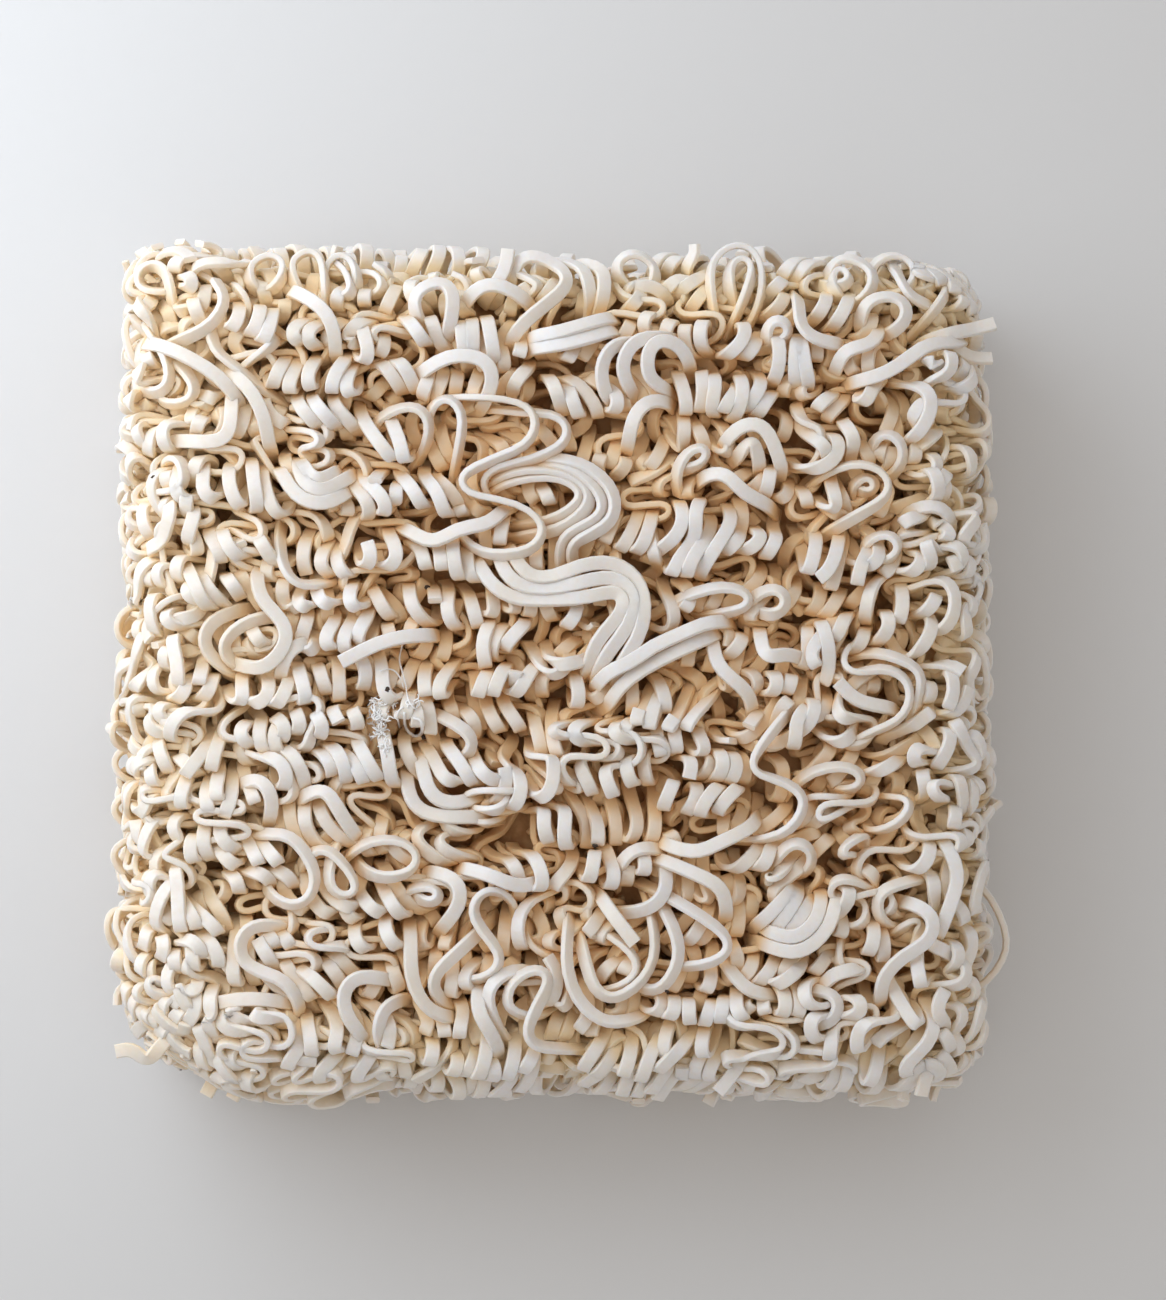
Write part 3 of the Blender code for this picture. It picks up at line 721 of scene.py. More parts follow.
def rim_drop(places):
    """How far the block's rounded top edge lies below the top at places in X and Y."""
    past_x = np.abs(places[:, 0]) - (LENGTH / 2 - DRAFT)
    past_y = np.abs(places[:, 1]) - (WIDTH / 2 - DRAFT)
    wall = rounded(past_x, past_y, corner_radius(*places.T))[0]
    in_edge = np.clip(wall + TOP_EDGE_RADIUS, 0, RIM_SHARE * TOP_EDGE_RADIUS)
    return (TOP_EDGE_RADIUS - np.sqrt(TOP_EDGE_RADIUS**2 - in_edge**2))[:, None]


def make_room(strands, seen):
    """Lowers the strands where they would lie in the way of the seen ones."""
    half = LENGTH / 2 + ROOM_MARGIN
    count = int(2 * half / ROOM_CELL)
    filled = np.zeros((count, count))
    height = np.full((count, count), HEIGHT)
    for strand in seen:
        rows = strand[strand[:, 6] > 0]
        cell = tuple(((rows[:, :2] + half) / ROOM_CELL).astype(int).T)
        filled[cell] = 1
        np.minimum.at(height, cell, rows[:, 2])
    for axis in (0, 1):
        filled = np.max([np.roll(filled, step, axis) for step in (-2, -1, 0, 1, 2)], axis=0)
        height = np.min([np.roll(height, step, axis) for step in range(-4, 5)], axis=0)
    for _ in range(4):
        for axis in (0, 1):
            filled = (np.roll(filled, 1, axis) + 2 * filled + np.roll(filled, -1, axis)) / 4
    for strand in strands:
        cell = np.clip((strand[:, :2] + half) / ROOM_CELL, 0, count - 1).astype(int)
        above = strand[:, 2] - height[tuple(cell.T)]
        lack = np.clip(above + ROOM_DEPTH, 0, None) * (1 - smooth_step(*ROOM_REACH, above))
        strand[:, 2] -= filled[tuple(cell.T)] * lack


# Laying the other strands


def folded_path(at):
    """Where a strand's middle runs in Y and Z, and the turn of its path there.

    It comes up the near wall, turns onto the top at 0, folds over at the far wall, and comes back
    along the base.
    """
    start_y = END_INSET - WIDTH / 2
    fold_y = WIDTH / 2 - 2 * FOLD_RADIUS
    before = np.maximum(-at, 0)
    rise = np.minimum(before / END_RADIUS, math.pi / 2)
    wall = np.maximum(before - END_RADIUS * math.pi / 2, 0)
    top = np.clip(at, 0, fold_y - start_y)
    fold = np.clip((at - (fold_y - start_y)) / FOLD_RADIUS, 0, math.pi)
    base = np.maximum(at - (fold_y - start_y) - math.pi * FOLD_RADIUS, 0)
    y = start_y - END_RADIUS * np.sin(rise) + top + FOLD_RADIUS * np.sin(fold) - base
    z = HEIGHT / 2 + FOLD_RADIUS * np.cos(fold) - END_RADIUS * (1 - np.cos(rise)) - wall
    return y, z, fold - rise


def wave(turns, top, height, lay, lean, bulb, coil, curl):
    """A strand's steps (along, sideways, outward) from its path, and the same for its way across.

    lay is how far the wave has fallen over: 0 stands upright, 1 and -1 lie flat on a side.
    """
    phase = TAU * turns
    crest = np.cos(phase) - CREST_FLATNESS * np.cos(3 * phase)
    upright = np.cos(lay * math.pi / 2)
    flat = np.sin(lay * math.pi / 2)
    bulb = bulb * (WAVE_BULB * upright + FLAT_WAVE_BULB * (1 - upright))
    along = bulb * np.sin(2 * phase) + lean * height * upright * crest
    sideways = flat * FLAT_WAVE_HEIGHT * crest
    sideways = sideways + upright * (coil * np.sin(phase) + curl * np.cos(2 * phase))
    outward = top - height * upright * (1 - crest)
    across = (0 * phase, upright * height, -flat * FLAT_WAVE_HEIGHT)
    return (along, sideways, outward), across


def even_steps(points, step):
    """Rows at even steps of a curve's length; the first three columns are the curve's places."""
    lengths = np.linalg.norm(np.diff(points[:, :3], axis=0), axis=1)
    at = np.concatenate([[0], np.cumsum(lengths)])
    count = max(int(round(at[-1] / step)), 4)
    new = np.linspace(0, at[-1], count + 1)
    return np.stack([np.interp(new, at, column) for column in points.T], 1)


def bundle_lanes(chance, low, high):
    """Splits the belt's width into bundles of strands that wave together."""
    lanes = np.arange(low, high, LANE_STEP)
    at = 0
    while at < len(lanes):
        size = int(chance.choice(list(BUNDLE_SIZES), p=list(BUNDLE_SIZES.values())))
        yield lanes[at : at + size]
        at += size


def wavers(chance, lengths, shares):
    """Smooth functions of the way along, one for each thing that wavers in a strand's run."""
    noises = {name: smooth_noise(chance, *lengths) for name in WAVERS}
    return {name: scaled(noise, shares.get(name, 1)) for name, noise in noises.items()}


def scaled(noise, share):
    return lambda at: share * noise(at)


def loose_wave(own, at, turns, top, height, lay=0):
    """A wave that leans, falls over and coils only as far as it wavers."""
    turns = turns + own["phase"](at)
    lay = np.clip(lay + own["lay"](at), -1, 1)
    bulb = 1 + own["bulb"](at)
    return wave(turns, top, height, lay, own["lean"](at), bulb, own["coil"](at), own["curl"](at))


def tangle_at(noise, lane, y):
    """How tangled the strands are at a place, as a share: most of all at the near end."""
    tangle = TANGLE + TANGLE_PLAY * noise(lane, y) + TANGLE_SLOPE * (lane - y) / 50
    return np.clip(tangle + CRUMBLED * smooth_step(*CRUMBLED_ROWS, y), *TANGLE_LIMITS)


def slant_at(noise, lane, y):
    """How far a wave runs sideways: its crests lean to the left on the left and vice versa."""
    return SLANT * np.clip(lane / SLANT_LANES + 0.1, *SLANT_LIMITS) + SLANT_PLAY * noise(lane, y)


def lay_belt(chance):
    """The folded belt, which makes the block's top, its far side and its underside."""
    rows = plane_noise(chance, *ROW_WAVERS)
    tangle = plane_noise(chance, *TANGLE_WAVERS)
    slants = plane_noise(chance, *SLANT_WAVERS)
    straight = WIDTH - 2 * FOLD_RADIUS
    first = -END_WALL - END_RADIUS * math.pi / 2
    last = 2 * straight - END_INSET + math.pi * FOLD_RADIUS
    strands = []
    for lanes in bundle_lanes(chance, -BELT_HALF_WIDTH, BELT_HALF_WIDTH):
        bundle = wavers(chance, *BUNDLE_WAVERS)
        side = chance.choice([-1, 1])
        phase_step = chance.normal(0, PHASE_STEP)
        for index, lane in enumerate(lanes):
            own = wavers(chance, *STRAND_WAVERS)
            start = first + chance.uniform(0, 5)
            at = np.arange(start, last - chance.uniform(0, 3.5), FINE_STEP)
            y, z, turn = folded_path(at)
            rough = tangle_at(tangle, lane, y)
            pitch = LEFT_PITCH + (RIGHT_PITCH - LEFT_PITCH) * (lane / LENGTH + 0.5)
            turns = (at - WIDTH / 2) / pitch + 2 * smooth_step(0, math.pi, turn)
            turns = turns - 2 * smooth_step(0, math.pi / 2, -turn)
            play = PHASE_PLAY[0] + PHASE_PLAY[1] * rough
            own_play = STRAND_PHASE_PLAY[0] + STRAND_PHASE_PLAY[1] * rough
            turns = turns + ROW_PLAY * rows(lane, at) + play * bundle["phase"](at)
            turns = turns + phase_step * index + own_play * own["phase"](at)
            lay = LAY_PLAY * rough * bundle["lay"](at) + own["lay"](at)
            lay = side * np.sign(lay) * np.clip(np.abs(lay) - LAY_START, 0, 1)
            steps, across = wave(
                turns,
                WAVE_TOP,
                WAVE_HEIGHT * (1 + HEIGHT_PLAY * bundle["bulb"](at + 30) + own["bulb"](at)),
                lay,
                BELT_LEAN + bundle["lean"](at),
                1 + BULB_PLAY * bundle["bulb"](at),
                slant_at(slants, lane, y) + bundle["coil"](at) + own["coil"](at),
                bundle["curl"](at) + own["curl"](at),
            )
            along, sideways, outward = steps
            sunk = 1 - LEFT_LIFT * smooth_step(*LEFT_LANES, lane)
            sink = smooth_step(*BUNDLE_SINK_RANGE, bundle["sink"](at))
            own_sink = smooth_step(*STRAND_SINK_RANGE, own["sink"](at))
            outward = outward - sunk * BUNDLE_SINK * sink - sunk * STRAND_SINK * own_sink
            x = lane + sideways + bundle["drift"](at) + own["drift"](at)
            y = y + along * np.cos(turn) + outward * np.sin(turn)
            z = z - along * np.sin(turn) + outward * np.cos(turn)
            way = [across[1], across[2] * np.sin(turn), across[2] * np.cos(turn)]
            strands.append(np.stack([x, y, z, *way], 1))
    return strands


def lay_under(chance):
    """Strands that lie a little below the top and are seen between its crests."""
    strands = []
    crowded = np.arange(-UNDER_HALF_WIDTH, UNDER_LEFT_EDGE, UNDER_LEFT_STEP)
    for lane in [*crowded, *np.arange(UNDER_LEFT_EDGE, UNDER_HALF_WIDTH, UNDER_LANE_STEP)]:
        own = wavers(chance, *UNDER_WAVERS)
        start = UNDER_END + chance.uniform(0, 4)
        at = np.arange(start, WIDTH - UNDER_END - chance.uniform(0, 4), FINE_STEP)
        turns = at / UNDER_PITCH + chance.uniform()
        lay = UNDER_LAY * np.sign(chance.uniform(-1, 1))
        steps, across = loose_wave(own, at, turns, 0, UNDER_HEIGHT_SHARE * WAVE_HEIGHT, lay)
        along, sideways, outward = steps
        x = lane + sideways + own["drift"](at)
        raised = UNDER_LEFT_RISE * smooth_step(*LEFT_LANES, lane)
        z = HEIGHT - UNDER_DEPTH + raised + outward + own["sink"](at)
        way = [across[1], 0 * at, across[2]]
        strands.append(np.stack([x, at - WIDTH / 2 + along, z, *way], 1))
    return strands


def wall_rail():
    """Places in X and Z, with the turn of the way out, round one wall from top to base."""
    inner = WALL_WAVE_HEIGHT + STRAND_THICKNESS / 2
    half = LENGTH / 2 - DRAFT / 2
    edge = TOP_EDGE_RADIUS - inner
    rail = []
    for turn in np.linspace(RAIL_START, math.pi / 2, RAIL_TURNS):
        x = half - TOP_EDGE_RADIUS - DRAFT / 2 + edge * math.sin(turn)
        rail.append((x, HEIGHT - TOP_EDGE_RADIUS + edge * math.cos(turn), turn))
    for z in np.arange(HEIGHT - TOP_EDGE_RADIUS - LANE_STEP, inner, -LANE_STEP):
        rail.append((half - inner, z, math.pi / 2))
    rail.append((half - inner, inner, 0.75 * math.pi))
    for x in np.arange(half - inner - LANE_STEP, BELT_HALF_WIDTH, -LANE_STEP):
        rail.append((x, inner, math.pi))
    return rail


def lay_walls(chance):
    """Strands along the two walls that face X, with their waves' crests outwards."""
    strands = []
    for side in (-1, 1):
        rows = plane_noise(chance, *SLANT_WAVERS)
        for x0, z0, turn in wall_rail():
            own = wavers(chance, *WALL_WAVERS)
            at = np.arange(chance.uniform(0, 2.5), WIDTH - chance.uniform(0, 3), FINE_STEP)
            steps, across = wave(
                at / LEFT_PITCH + WALL_ROW_PLAY * rows(z0, at) + own["phase"](at),
                WALL_WAVE_HEIGHT,
                WALL_WAVE_HEIGHT * (1 + WALL_HEIGHT_PLAY * own["bulb"](at)),
                np.clip(own["lay"](at), -1, 1),
                own["lean"](at),
                1 + WALL_BULB_PLAY * own["bulb"](at + 20),
                own["coil"](at),
                own["curl"](at),
            )
            along, sideways, outward = steps
            sideways = sideways + own["drift"](at)
            outward = outward + own["sink"](at)
            x = side * (x0 + outward * math.sin(turn) + sideways * math.cos(turn))
            z = z0 + outward * math.cos(turn) - sideways * math.sin(turn)
            way_x = side * (across[2] * math.sin(turn) + across[1] * math.cos(turn))
            way_z = across[2] * math.cos(turn) - across[1] * math.sin(turn)
            strands.append(np.stack([x, at - WIDTH / 2 + along, z, way_x, 0 * at, way_z], 1))
    return strands


def lay_inner(chance):
    """Strands round the block a little inside its walls, which are seen between the walls' waves."""
    strands = []
    for z0 in INNER_HEIGHTS:
        inset = INNER_DEPTH + DRAFT * z0 / HEIGHT
        turn = np.linspace(0, TAU, INNER_STEPS) + chance.uniform(0, TAU)
        circle = np.stack([np.cos(turn), np.sin(turn)], 1)
        square = np.sign(circle) * np.abs(circle) ** INNER_SQUARENESS
        path = even_steps(square * [LENGTH / 2 - inset, WIDTH / 2 - inset], FINE_STEP)
        ahead = unit(np.gradient(path, axis=0))
        out = np.stack([ahead[:, 1], -ahead[:, 0]], 1)
        own = wavers(chance, *INNER_WAVERS)
        at = FINE_STEP * np.arange(len(path))
        turns = at / INNER_PITCH + chance.uniform()
        steps, across = loose_wave(own, at, turns, INNER_WAVE_HEIGHT, INNER_WAVE_HEIGHT)
        along, sideways, outward = steps
        plan = path + along[:, None] * ahead + outward[:, None] * out
        z = z0 + sideways + own["drift"](at)
        way = [across[2] * out[:, 0], across[2] * out[:, 1], across[1]]
        strands.append(np.stack([*plan.T, z, *way], 1))
    return strands


def without_middle(strands):
    """The strands without what lies so deep in the block that it never shows."""
    pieces = []
    for strand in strands:
        depth, way = outline_depth(strand[:, :3])
        kept = depth < shown_depth(way) + HIDDEN_DEPTH
        breaks = np.flatnonzero(kept[1:] != kept[:-1]) + 1
        for piece in np.split(strand, breaks):
            inside = outline_depth(piece[:1, :3])
            shown = inside[0][0] < shown_depth(inside[1])[0] + HIDDEN_DEPTH
            if shown and len(piece) > KEPT_ROWS:
                pieces.append(piece)
    return pieces


def break_up(strands, chance):
    """Breaks strands by chance, as a real block's have snapped, with a short gap at each break."""
    pieces = []
    for strand in strands:
        steps = np.linalg.norm(np.diff(strand[:, :3], axis=0), axis=1)
        length = np.concatenate([[0], np.cumsum(steps)])
        cuts = np.sort(chance.uniform(0, length[-1], chance.poisson(length[-1] / UNBROKEN_LENGTH)))
        rows = np.searchsorted(length, [0, *cuts, length[-1] + 1])
        for low, high in zip(rows[:-1], rows[1:]):
            piece = strand[low + BREAK_ROWS : high]
            if len(piece) > PIECE_ROWS:
                pieces.append(piece)
    return pieces


# Pressing the strands into the pan


class Heap:
    """All strands' points in one array, with the way across each ribbon."""

    def __init__(self, strands):
        strands = [even_steps(strand, POINT_STEP) for strand in strands]
        rows = np.concatenate(strands)
        self.points = rows[:, :3].copy()
        self.across = unit(rows[:, 3:6])
        self.grip = np.where(rows[:, 6:7] > 0.5, SEEN_GRIP, 1.0)
        self.band = rows[:, 7].astype(int)
        self.owner = np.repeat(np.arange(len(strands)), [len(s) for s in strands])
        self.joined = self.owner[1:] == self.owner[:-1]
        self.first = np.flatnonzero(np.concatenate([[True], ~self.joined]))
        self.last = np.flatnonzero(np.concatenate([~self.joined, [True]]))
        self.start = self.points.copy()
        self.square_up()

    def tangents(self):
        steps = np.diff(self.points, axis=0) * self.joined[:, None]
        tangents = np.zeros_like(self.points)
        tangents[:-1] += steps
        tangents[1:] += steps
        return unit(tangents)

    def square_up(self):
        """Turns each ribbon's width square to its run."""
        self.along = self.tangents()
        across = self.smoothed(self.across)
        across = across - self.along * (across * self.along).sum(1, keepdims=True)
        self.across = unit(across)
        self.normal = np.cross(self.along, self.across)

    def smoothed(self, values, share=0.5):
        """values moved by share towards the mean of their neighbours along each strand."""
        total = np.zeros_like(values)
        count = np.zeros((len(values), 1))
        total[:-1] += values[1:] * self.joined[:, None]
        total[1:] += values[:-1] * self.joined[:, None]
        count[:-1, 0] += self.joined
        count[1:, 0] += self.joined
        return values + share * (total / np.maximum(count, 1) - values)

    def reach(self, directions, rows):
        """How far a strand's surface lies from its middle in the given directions."""
        across = (directions * self.across[rows]).sum(1) / (STRAND_WIDTH / 2)
        normal = (directions * self.normal[rows]).sum(1) / (STRAND_THICKNESS / 2)
        along = (directions * self.along[rows]).sum(1) / (POINT_REACH * POINT_STEP)
        return 1 / np.sqrt(across**2 + normal**2 + along**2)


def near_pairs(points, owner, band, reach):
    """Pairs of points closer than reach, without close neighbours on one strand or band."""
    cell = np.floor((points - points.min(0)) / reach).astype(np.int64)
    size = cell.max(0) + 3
    key = (cell[:, 0] * size[1] + cell[:, 1]) * size[2] + cell[:, 2]
    order = np.argsort(key, kind="stable")
    ranked = key[order]
    found = []
    steps = itertools.product((-1, 0, 1), repeat=3)
    for i, j, k in [step for step in steps if step >= (0, 0, 0)]:
        wanted = ranked + (i * size[1] + j) * size[2] + k
        low = np.searchsorted(ranked, wanted, "left")
        if (i, j, k) == (0, 0, 0):
            low = np.arange(1, len(ranked) + 1)
        count = np.searchsorted(ranked, wanted, "right") - low
        first = np.repeat(np.arange(len(ranked)), count)
        within = np.arange(len(first)) - np.repeat(np.cumsum(count) - count, count)
        second = np.repeat(low, count) + within
        a, b = order[first], order[second]
        gap = ((points[a] - points[b]) ** 2).sum(1)
        apart = (owner[a] != owner[b]) | (np.abs(a - b) * POINT_STEP > OWN_REACH)
        keep = (gap < reach * reach) & apart & ((band[a] != band[b]) | (band[a] == 0))
        found.append(np.stack([a[keep], b[keep]], 1))
    return np.concatenate(found).T


def push_apart(heap, pairs):
    """Moves both points of each pair that overlaps, along the line between them."""
    a, b = pairs
    gap = heap.points[b] - heap.points[a]
    length = np.maximum(np.linalg.norm(gap, axis=1), 1e-6)
    way = gap / length[:, None]
    overlap = heap.reach(way, a) + heap.reach(way, b) - length
    hit = overlap > 0
    push = way[hit] * overlap[hit, None] * 0.5
    count = len(heap.points)
    touches = np.bincount(a[hit], minlength=count) + np.bincount(b[hit], minlength=count)
    share = 1 / np.maximum(touches, 1) ** 0.5
    for axis in range(3):
        forward = np.bincount(b[hit], push[:, axis], count)
        moved = forward - np.bincount(a[hit], push[:, axis], count)
        heap.points[:, axis] += moved * share * heap.grip[:, 0]


def keep_straight_edgewise(heap):
    """A ribbon bends across its wide face but hardly within it."""
    bend = heap.smoothed(heap.points, 1.0) - heap.points
    bend[heap.first] = 0
    bend[heap.last] = 0
    edgewise = (bend * heap.across).sum(1, keepdims=True)
    heap.points += EDGE_STIFFNESS * heap.grip * edgewise * heap.across


def keep_length(heap):
    """Brings the steps along each strand back to their first lengths."""
    for start in (0, 1):
        rows = np.arange(start, len(heap.points) - 1, 2)
        rows = rows[heap.joined[rows]]
        step = heap.points[rows + 1] - heap.points[rows]
        length = np.maximum(np.linalg.norm(step, axis=1, keepdims=True), 1e-6)
        change = 0.5 * step * (1 - heap.rest[rows, None] / length)
        heap.points[rows] += change
        heap.points[rows + 1] -= change


def stay_inside(heap, slack):
    """Brings strands that reach out of the swelling outline back in, but for the slack."""
    depth, way = outline_depth(heap.points)
    rows = np.flatnonzero(depth < 1.0 + slack)
    play = np.where(way[rows, 2] < 0, 0, TOP_SWELL + WALL_SWELL * (1 - way[rows, 2] ** 2))
    play = play * heap.swell(*heap.points[rows].T) + WALL_GIVE * (1 - np.abs(way[rows, 2]))
    play = play + SEEN_PLAY * (heap.grip[rows, 0] < 1)
    lack = heap.reach(way[rows], rows) - slack - play - depth[rows]
    out = lack > 0
    heap.points[rows[out]] -= way[rows[out]] * lack[out, None]


def lie_flat(heap):
    """Turns ribbons at the surface so that their wide face lies on the pan."""
    depth, way = outline_depth(heap.points)
    slope = (heap.across * way).sum(1, keepdims=True)
    near = (depth < FLAT_DEPTH)[:, None] & (np.abs(slope) < FLAT_SLOPE) & (heap.grip == 1)
    heap.across = unit(heap.across - 0.5 * near * slope * way)


def swell_noise(chance):
    """How far the cake's outline swells at a place, from about -1 to 1."""
    plan = plane_noise(chance, *SWELL_WAVERS)
    height = plane_noise(chance, *SWELL_WAVERS)
    return lambda x, y, z: 0.7 * plan(x, y) + 0.7 * height(z, x + y)


def press(strands, chance):
    """Pushes the strands apart and into the block's outline, as the pan's lid does."""
    heap = Heap(strands)
    heap.swell = swell_noise(chance)
    steps = np.diff(heap.points, axis=0)
    heap.rest = np.linalg.norm(steps, axis=1)
    for round_ in range(PRESS_ROUNDS):
        if round_ % PAIR_ROUNDS == 0:
            lie_flat(heap)
            heap.square_up()
            pairs = near_pairs(heap.points, heap.owner, heap.band, STRAND_WIDTH + PAIR_MARGIN)
        push_apart(heap, pairs)
        moved = heap.smoothed(heap.points - heap.start, 0.5)
        moved = moved * np.where(heap.grip < 1, 1 - SEEN_PULL, 1.0)
        heap.points = heap.start + moved
        keep_straight_edgewise(heap)
        keep_length(heap)
        stay_inside(heap, PRESS_START * max(0.0, 1 - round_ / (0.5 * PRESS_ROUNDS)))
    ends = np.concatenate([heap.first, heap.last])
    for _ in range(EASE_ROUNDS):
        kept = heap.points[ends]
        heap.points = heap.smoothed(heap.points, EASE_SHARE)
        heap.points[ends] = kept
    heap.square_up()
    return heap


# Ribbon meshes


def section():
    """The strand's cut: a flat bar with its corners taken off."""
    half = (STRAND_WIDTH / 2, STRAND_THICKNESS / 2)
    corner = [(half[0], half[1] - CORNER_CUT), (half[0] - CORNER_CUT, half[1])]
    points = []
    for sign_x, sign_y in ((1, 1), (-1, 1), (-1, -1), (1, -1)):
        pair = [(sign_x * x, sign_y * y) for x, y in corner]
        points += pair if sign_x * sign_y > 0 else pair[::-1]
    return np.array(points)


def section_normals():
    """Which way the surface faces at each of the cut's points."""
    wide, narrow = math.radians(WIDE_FACE_TURN), math.radians(NARROW_FACE_TURN)
    turns = [narrow, wide, math.pi - wide, math.pi - narrow]
    turns += [turn + math.pi for turn in turns]
    return np.array([(math.cos(turn), math.sin(turn)) for turn in turns])


def ring_places(heap, run):
    """Places along a run for its mesh's rings: close where it turns, far apart where straight."""
    bend = (heap.along[run[:-1]] * heap.along[run[1:]]).sum(1)
    twist = (heap.across[run[:-1]] * heap.across[run[1:]]).sum(1)
    length = np.linalg.norm(np.diff(heap.points[run], axis=0), axis=1)
    cost = np.arccos(np.clip(bend, -1, 1)) / RING_BEND + length / RING_LENGTH
    cost = cost + np.arccos(np.clip(twist, -1, 1)) / (2 * RING_BEND)
    at = np.concatenate([[0], np.cumsum(cost)])
    count = max(int(round(at[-1])), 3)
    return np.interp(np.linspace(0, at[-1], count + 1), at, run)


def curve_at(heap, places):
    """The strands' middles, and the ways along, across and out of the wide face, at places."""
    row = np.minimum(places.astype(int), len(heap.points) - 2)
    row = np.where(heap.joined[row], row, row - 1)
    share = (places - row)[:, None]
    before = np.where((row > 0) & heap.joined[row - 1], row - 1, row)
    after = np.minimum(row + 2, len(heap.points) - 1)
    after = np.where(heap.owner[after] == heap.owner[row], after, row + 1)
    p0, p1, p2, p3 = (heap.points[rows] for rows in (before, row, row + 1, after))
    pull = (p2 - p0) / 2, (p3 - p1) / 2
    square, cube = share**2, share**3
    middle = (2 * cube - 3 * square + 1) * p1 + (3 * square - 2 * cube) * p2
    middle = middle + (cube - 2 * square + share) * pull[0] + (cube - square) * pull[1]
    along = (6 * square - 6 * share) * (p1 - p2)
    along = along + (3 * square - 4 * share + 1) * pull[0] + (3 * square - 2 * share) * pull[1]
    along = unit(along)
    across = heap.across[row] * (1 - share) + heap.across[row + 1] * share
    across = unit(across - along * (across * along).sum(1, keepdims=True))
    return middle, along, across, np.cross(along, across)


def add_values(mesh, name, values):
    """A value at every vertex, for the material to read."""
    attribute = mesh.attributes.new(name, "FLOAT", "POINT")
    attribute.data.foreach_set("value", values.astype(np.float32))


def cover_over(heap):
    """A function: how much of the strands lies just outside of given places, as a share, which the
    material turns into painted shade.
    """
    low = heap.points.min(0) - COVER_MARGIN
    size = np.ceil((heap.points.max(0) - low + COVER_MARGIN) / COVER_CELL).astype(int)
    cell = ((heap.points - low) / COVER_CELL).astype(int)
    filled = np.zeros(size)
    volume = STRAND_WIDTH * STRAND_THICKNESS * POINT_STEP
    np.add.at(filled, tuple(cell.T), volume / COVER_CELL**3)
    for axis in range(3):
        filled = (np.roll(filled, 1, axis) + 2 * filled + np.roll(filled, -1, axis)) / 4

    def cover(places):
        way = outline_depth(places)[1]
        total = np.zeros(len(places))
        for reach in COVER_REACHES:
            at = (places + way * reach - low) / COVER_CELL - 0.5
            cell = np.clip(at.astype(int), 0, np.array(size) - 2)
            share = at - cell
            for corner in np.ndindex(2, 2, 2):
                weight = np.abs(1 - np.array(corner) - share).prod(1)
                total += weight * filled[tuple((cell + corner).T)]
        return total / len(COVER_REACHES)

    return cover


def strand_number(heap, places):
    """A number from 0 to 1 for each ring, the same all along a strand."""
    owner = heap.owner[np.concatenate(places).astype(int)]
    return (owner * 0.618034) % 1.0


def unroll(mesh, middle, first, last, inner, cut):
    """Unrolls each run as a straight strip, with the strips' rows one above another."""
    edges = np.roll(cut, -1, axis=0) - cut
    up = np.concatenate([[0], np.cumsum(np.linalg.norm(edges, axis=1))])
    row_height = up[-1] + STRIP_GAP
    steps = np.linalg.norm(np.diff(middle, axis=0), axis=1)
    steps = np.concatenate([[0], steps])
    steps[first] = 2 * (STRAND_THICKNESS + STRIP_GAP) + STRIP_GAP
    at = np.cumsum(steps)
    margin = 3 * RING_LENGTH
    side = math.sqrt(at[-1] * row_height) + margin
    row_length = side - margin
    size = max(side, row_height * math.ceil(at[-1] / row_length + 1))

    def place(along, height, origin):
        row = np.floor(origin / row_length)
        return np.stack([along - row * row_length, row * row_height + height], -1)

    here = np.flatnonzero(inner)
    low, high = np.broadcast_to(up[:-1], (len(here), len(cut))), up[1:]
    high = np.broadcast_to(high, low.shape)
    start = np.broadcast_to(at[here][:, None], low.shape)
    end = np.broadcast_to(at[here + 1][:, None], low.shape)
    quads = [place(start, low, start), place(start, high, start)]
    quads += [place(end, high, start), place(end, low, start)]
    quads = np.stack(quads, 2).reshape(-1, 2)
    caps = []
    for rows, sign in ((first, -1), (last, 1)):
        flat = cut[::-1] if sign < 0 else cut
        centre = at[rows] + sign * (STRAND_THICKNESS / 2 + STRIP_GAP)
        along = centre[:, None] + flat[None, :, 1]
        caps.append(place(along, up[-1] / 2 + flat[None, :, 0], centre[:, None]).reshape(-1, 2))
    places = (np.concatenate([quads, *caps]) + STRIP_GAP + 1) / (size + 2 * STRIP_GAP + 2)
    layer = mesh.uv_layers.new(name="OFBake")
    layer.uv.foreach_set("vector", places.astype(np.float32).ravel())


def mesh_of_faces(name, places, corners, counts, corner_normals):
    """A mesh from its vertices' places, and its faces' corners with their counts and normals."""
    mesh = bpy.data.meshes.new(name)
    mesh.vertices.add(len(places))
    mesh.vertices.foreach_set("co", (places * MM).astype(np.float32).ravel())
    mesh.loops.add(len(corners))
    mesh.loops.foreach_set("vertex_index", corners)
    mesh.polygons.add(len(counts))
    mesh.polygons.foreach_set("loop_start", (np.cumsum(counts) - counts).astype(np.int32))
    mesh.update(calc_edges=True)
    mesh.polygons.foreach_set("use_smooth", np.ones(len(counts), bool))
    mesh.normals_split_custom_set(corner_normals.tolist())
    return mesh


def linked_object(mesh, material):
    mesh.materials.append(material)
    thing = bpy.data.objects.new(mesh.name, mesh)
    bpy.context.collection.objects.link(thing)
    return thing


def mesh_from(bm, name):
    mesh = bpy.data.meshes.new(name)
    bm.to_mesh(mesh)
    bm.free()
    return mesh


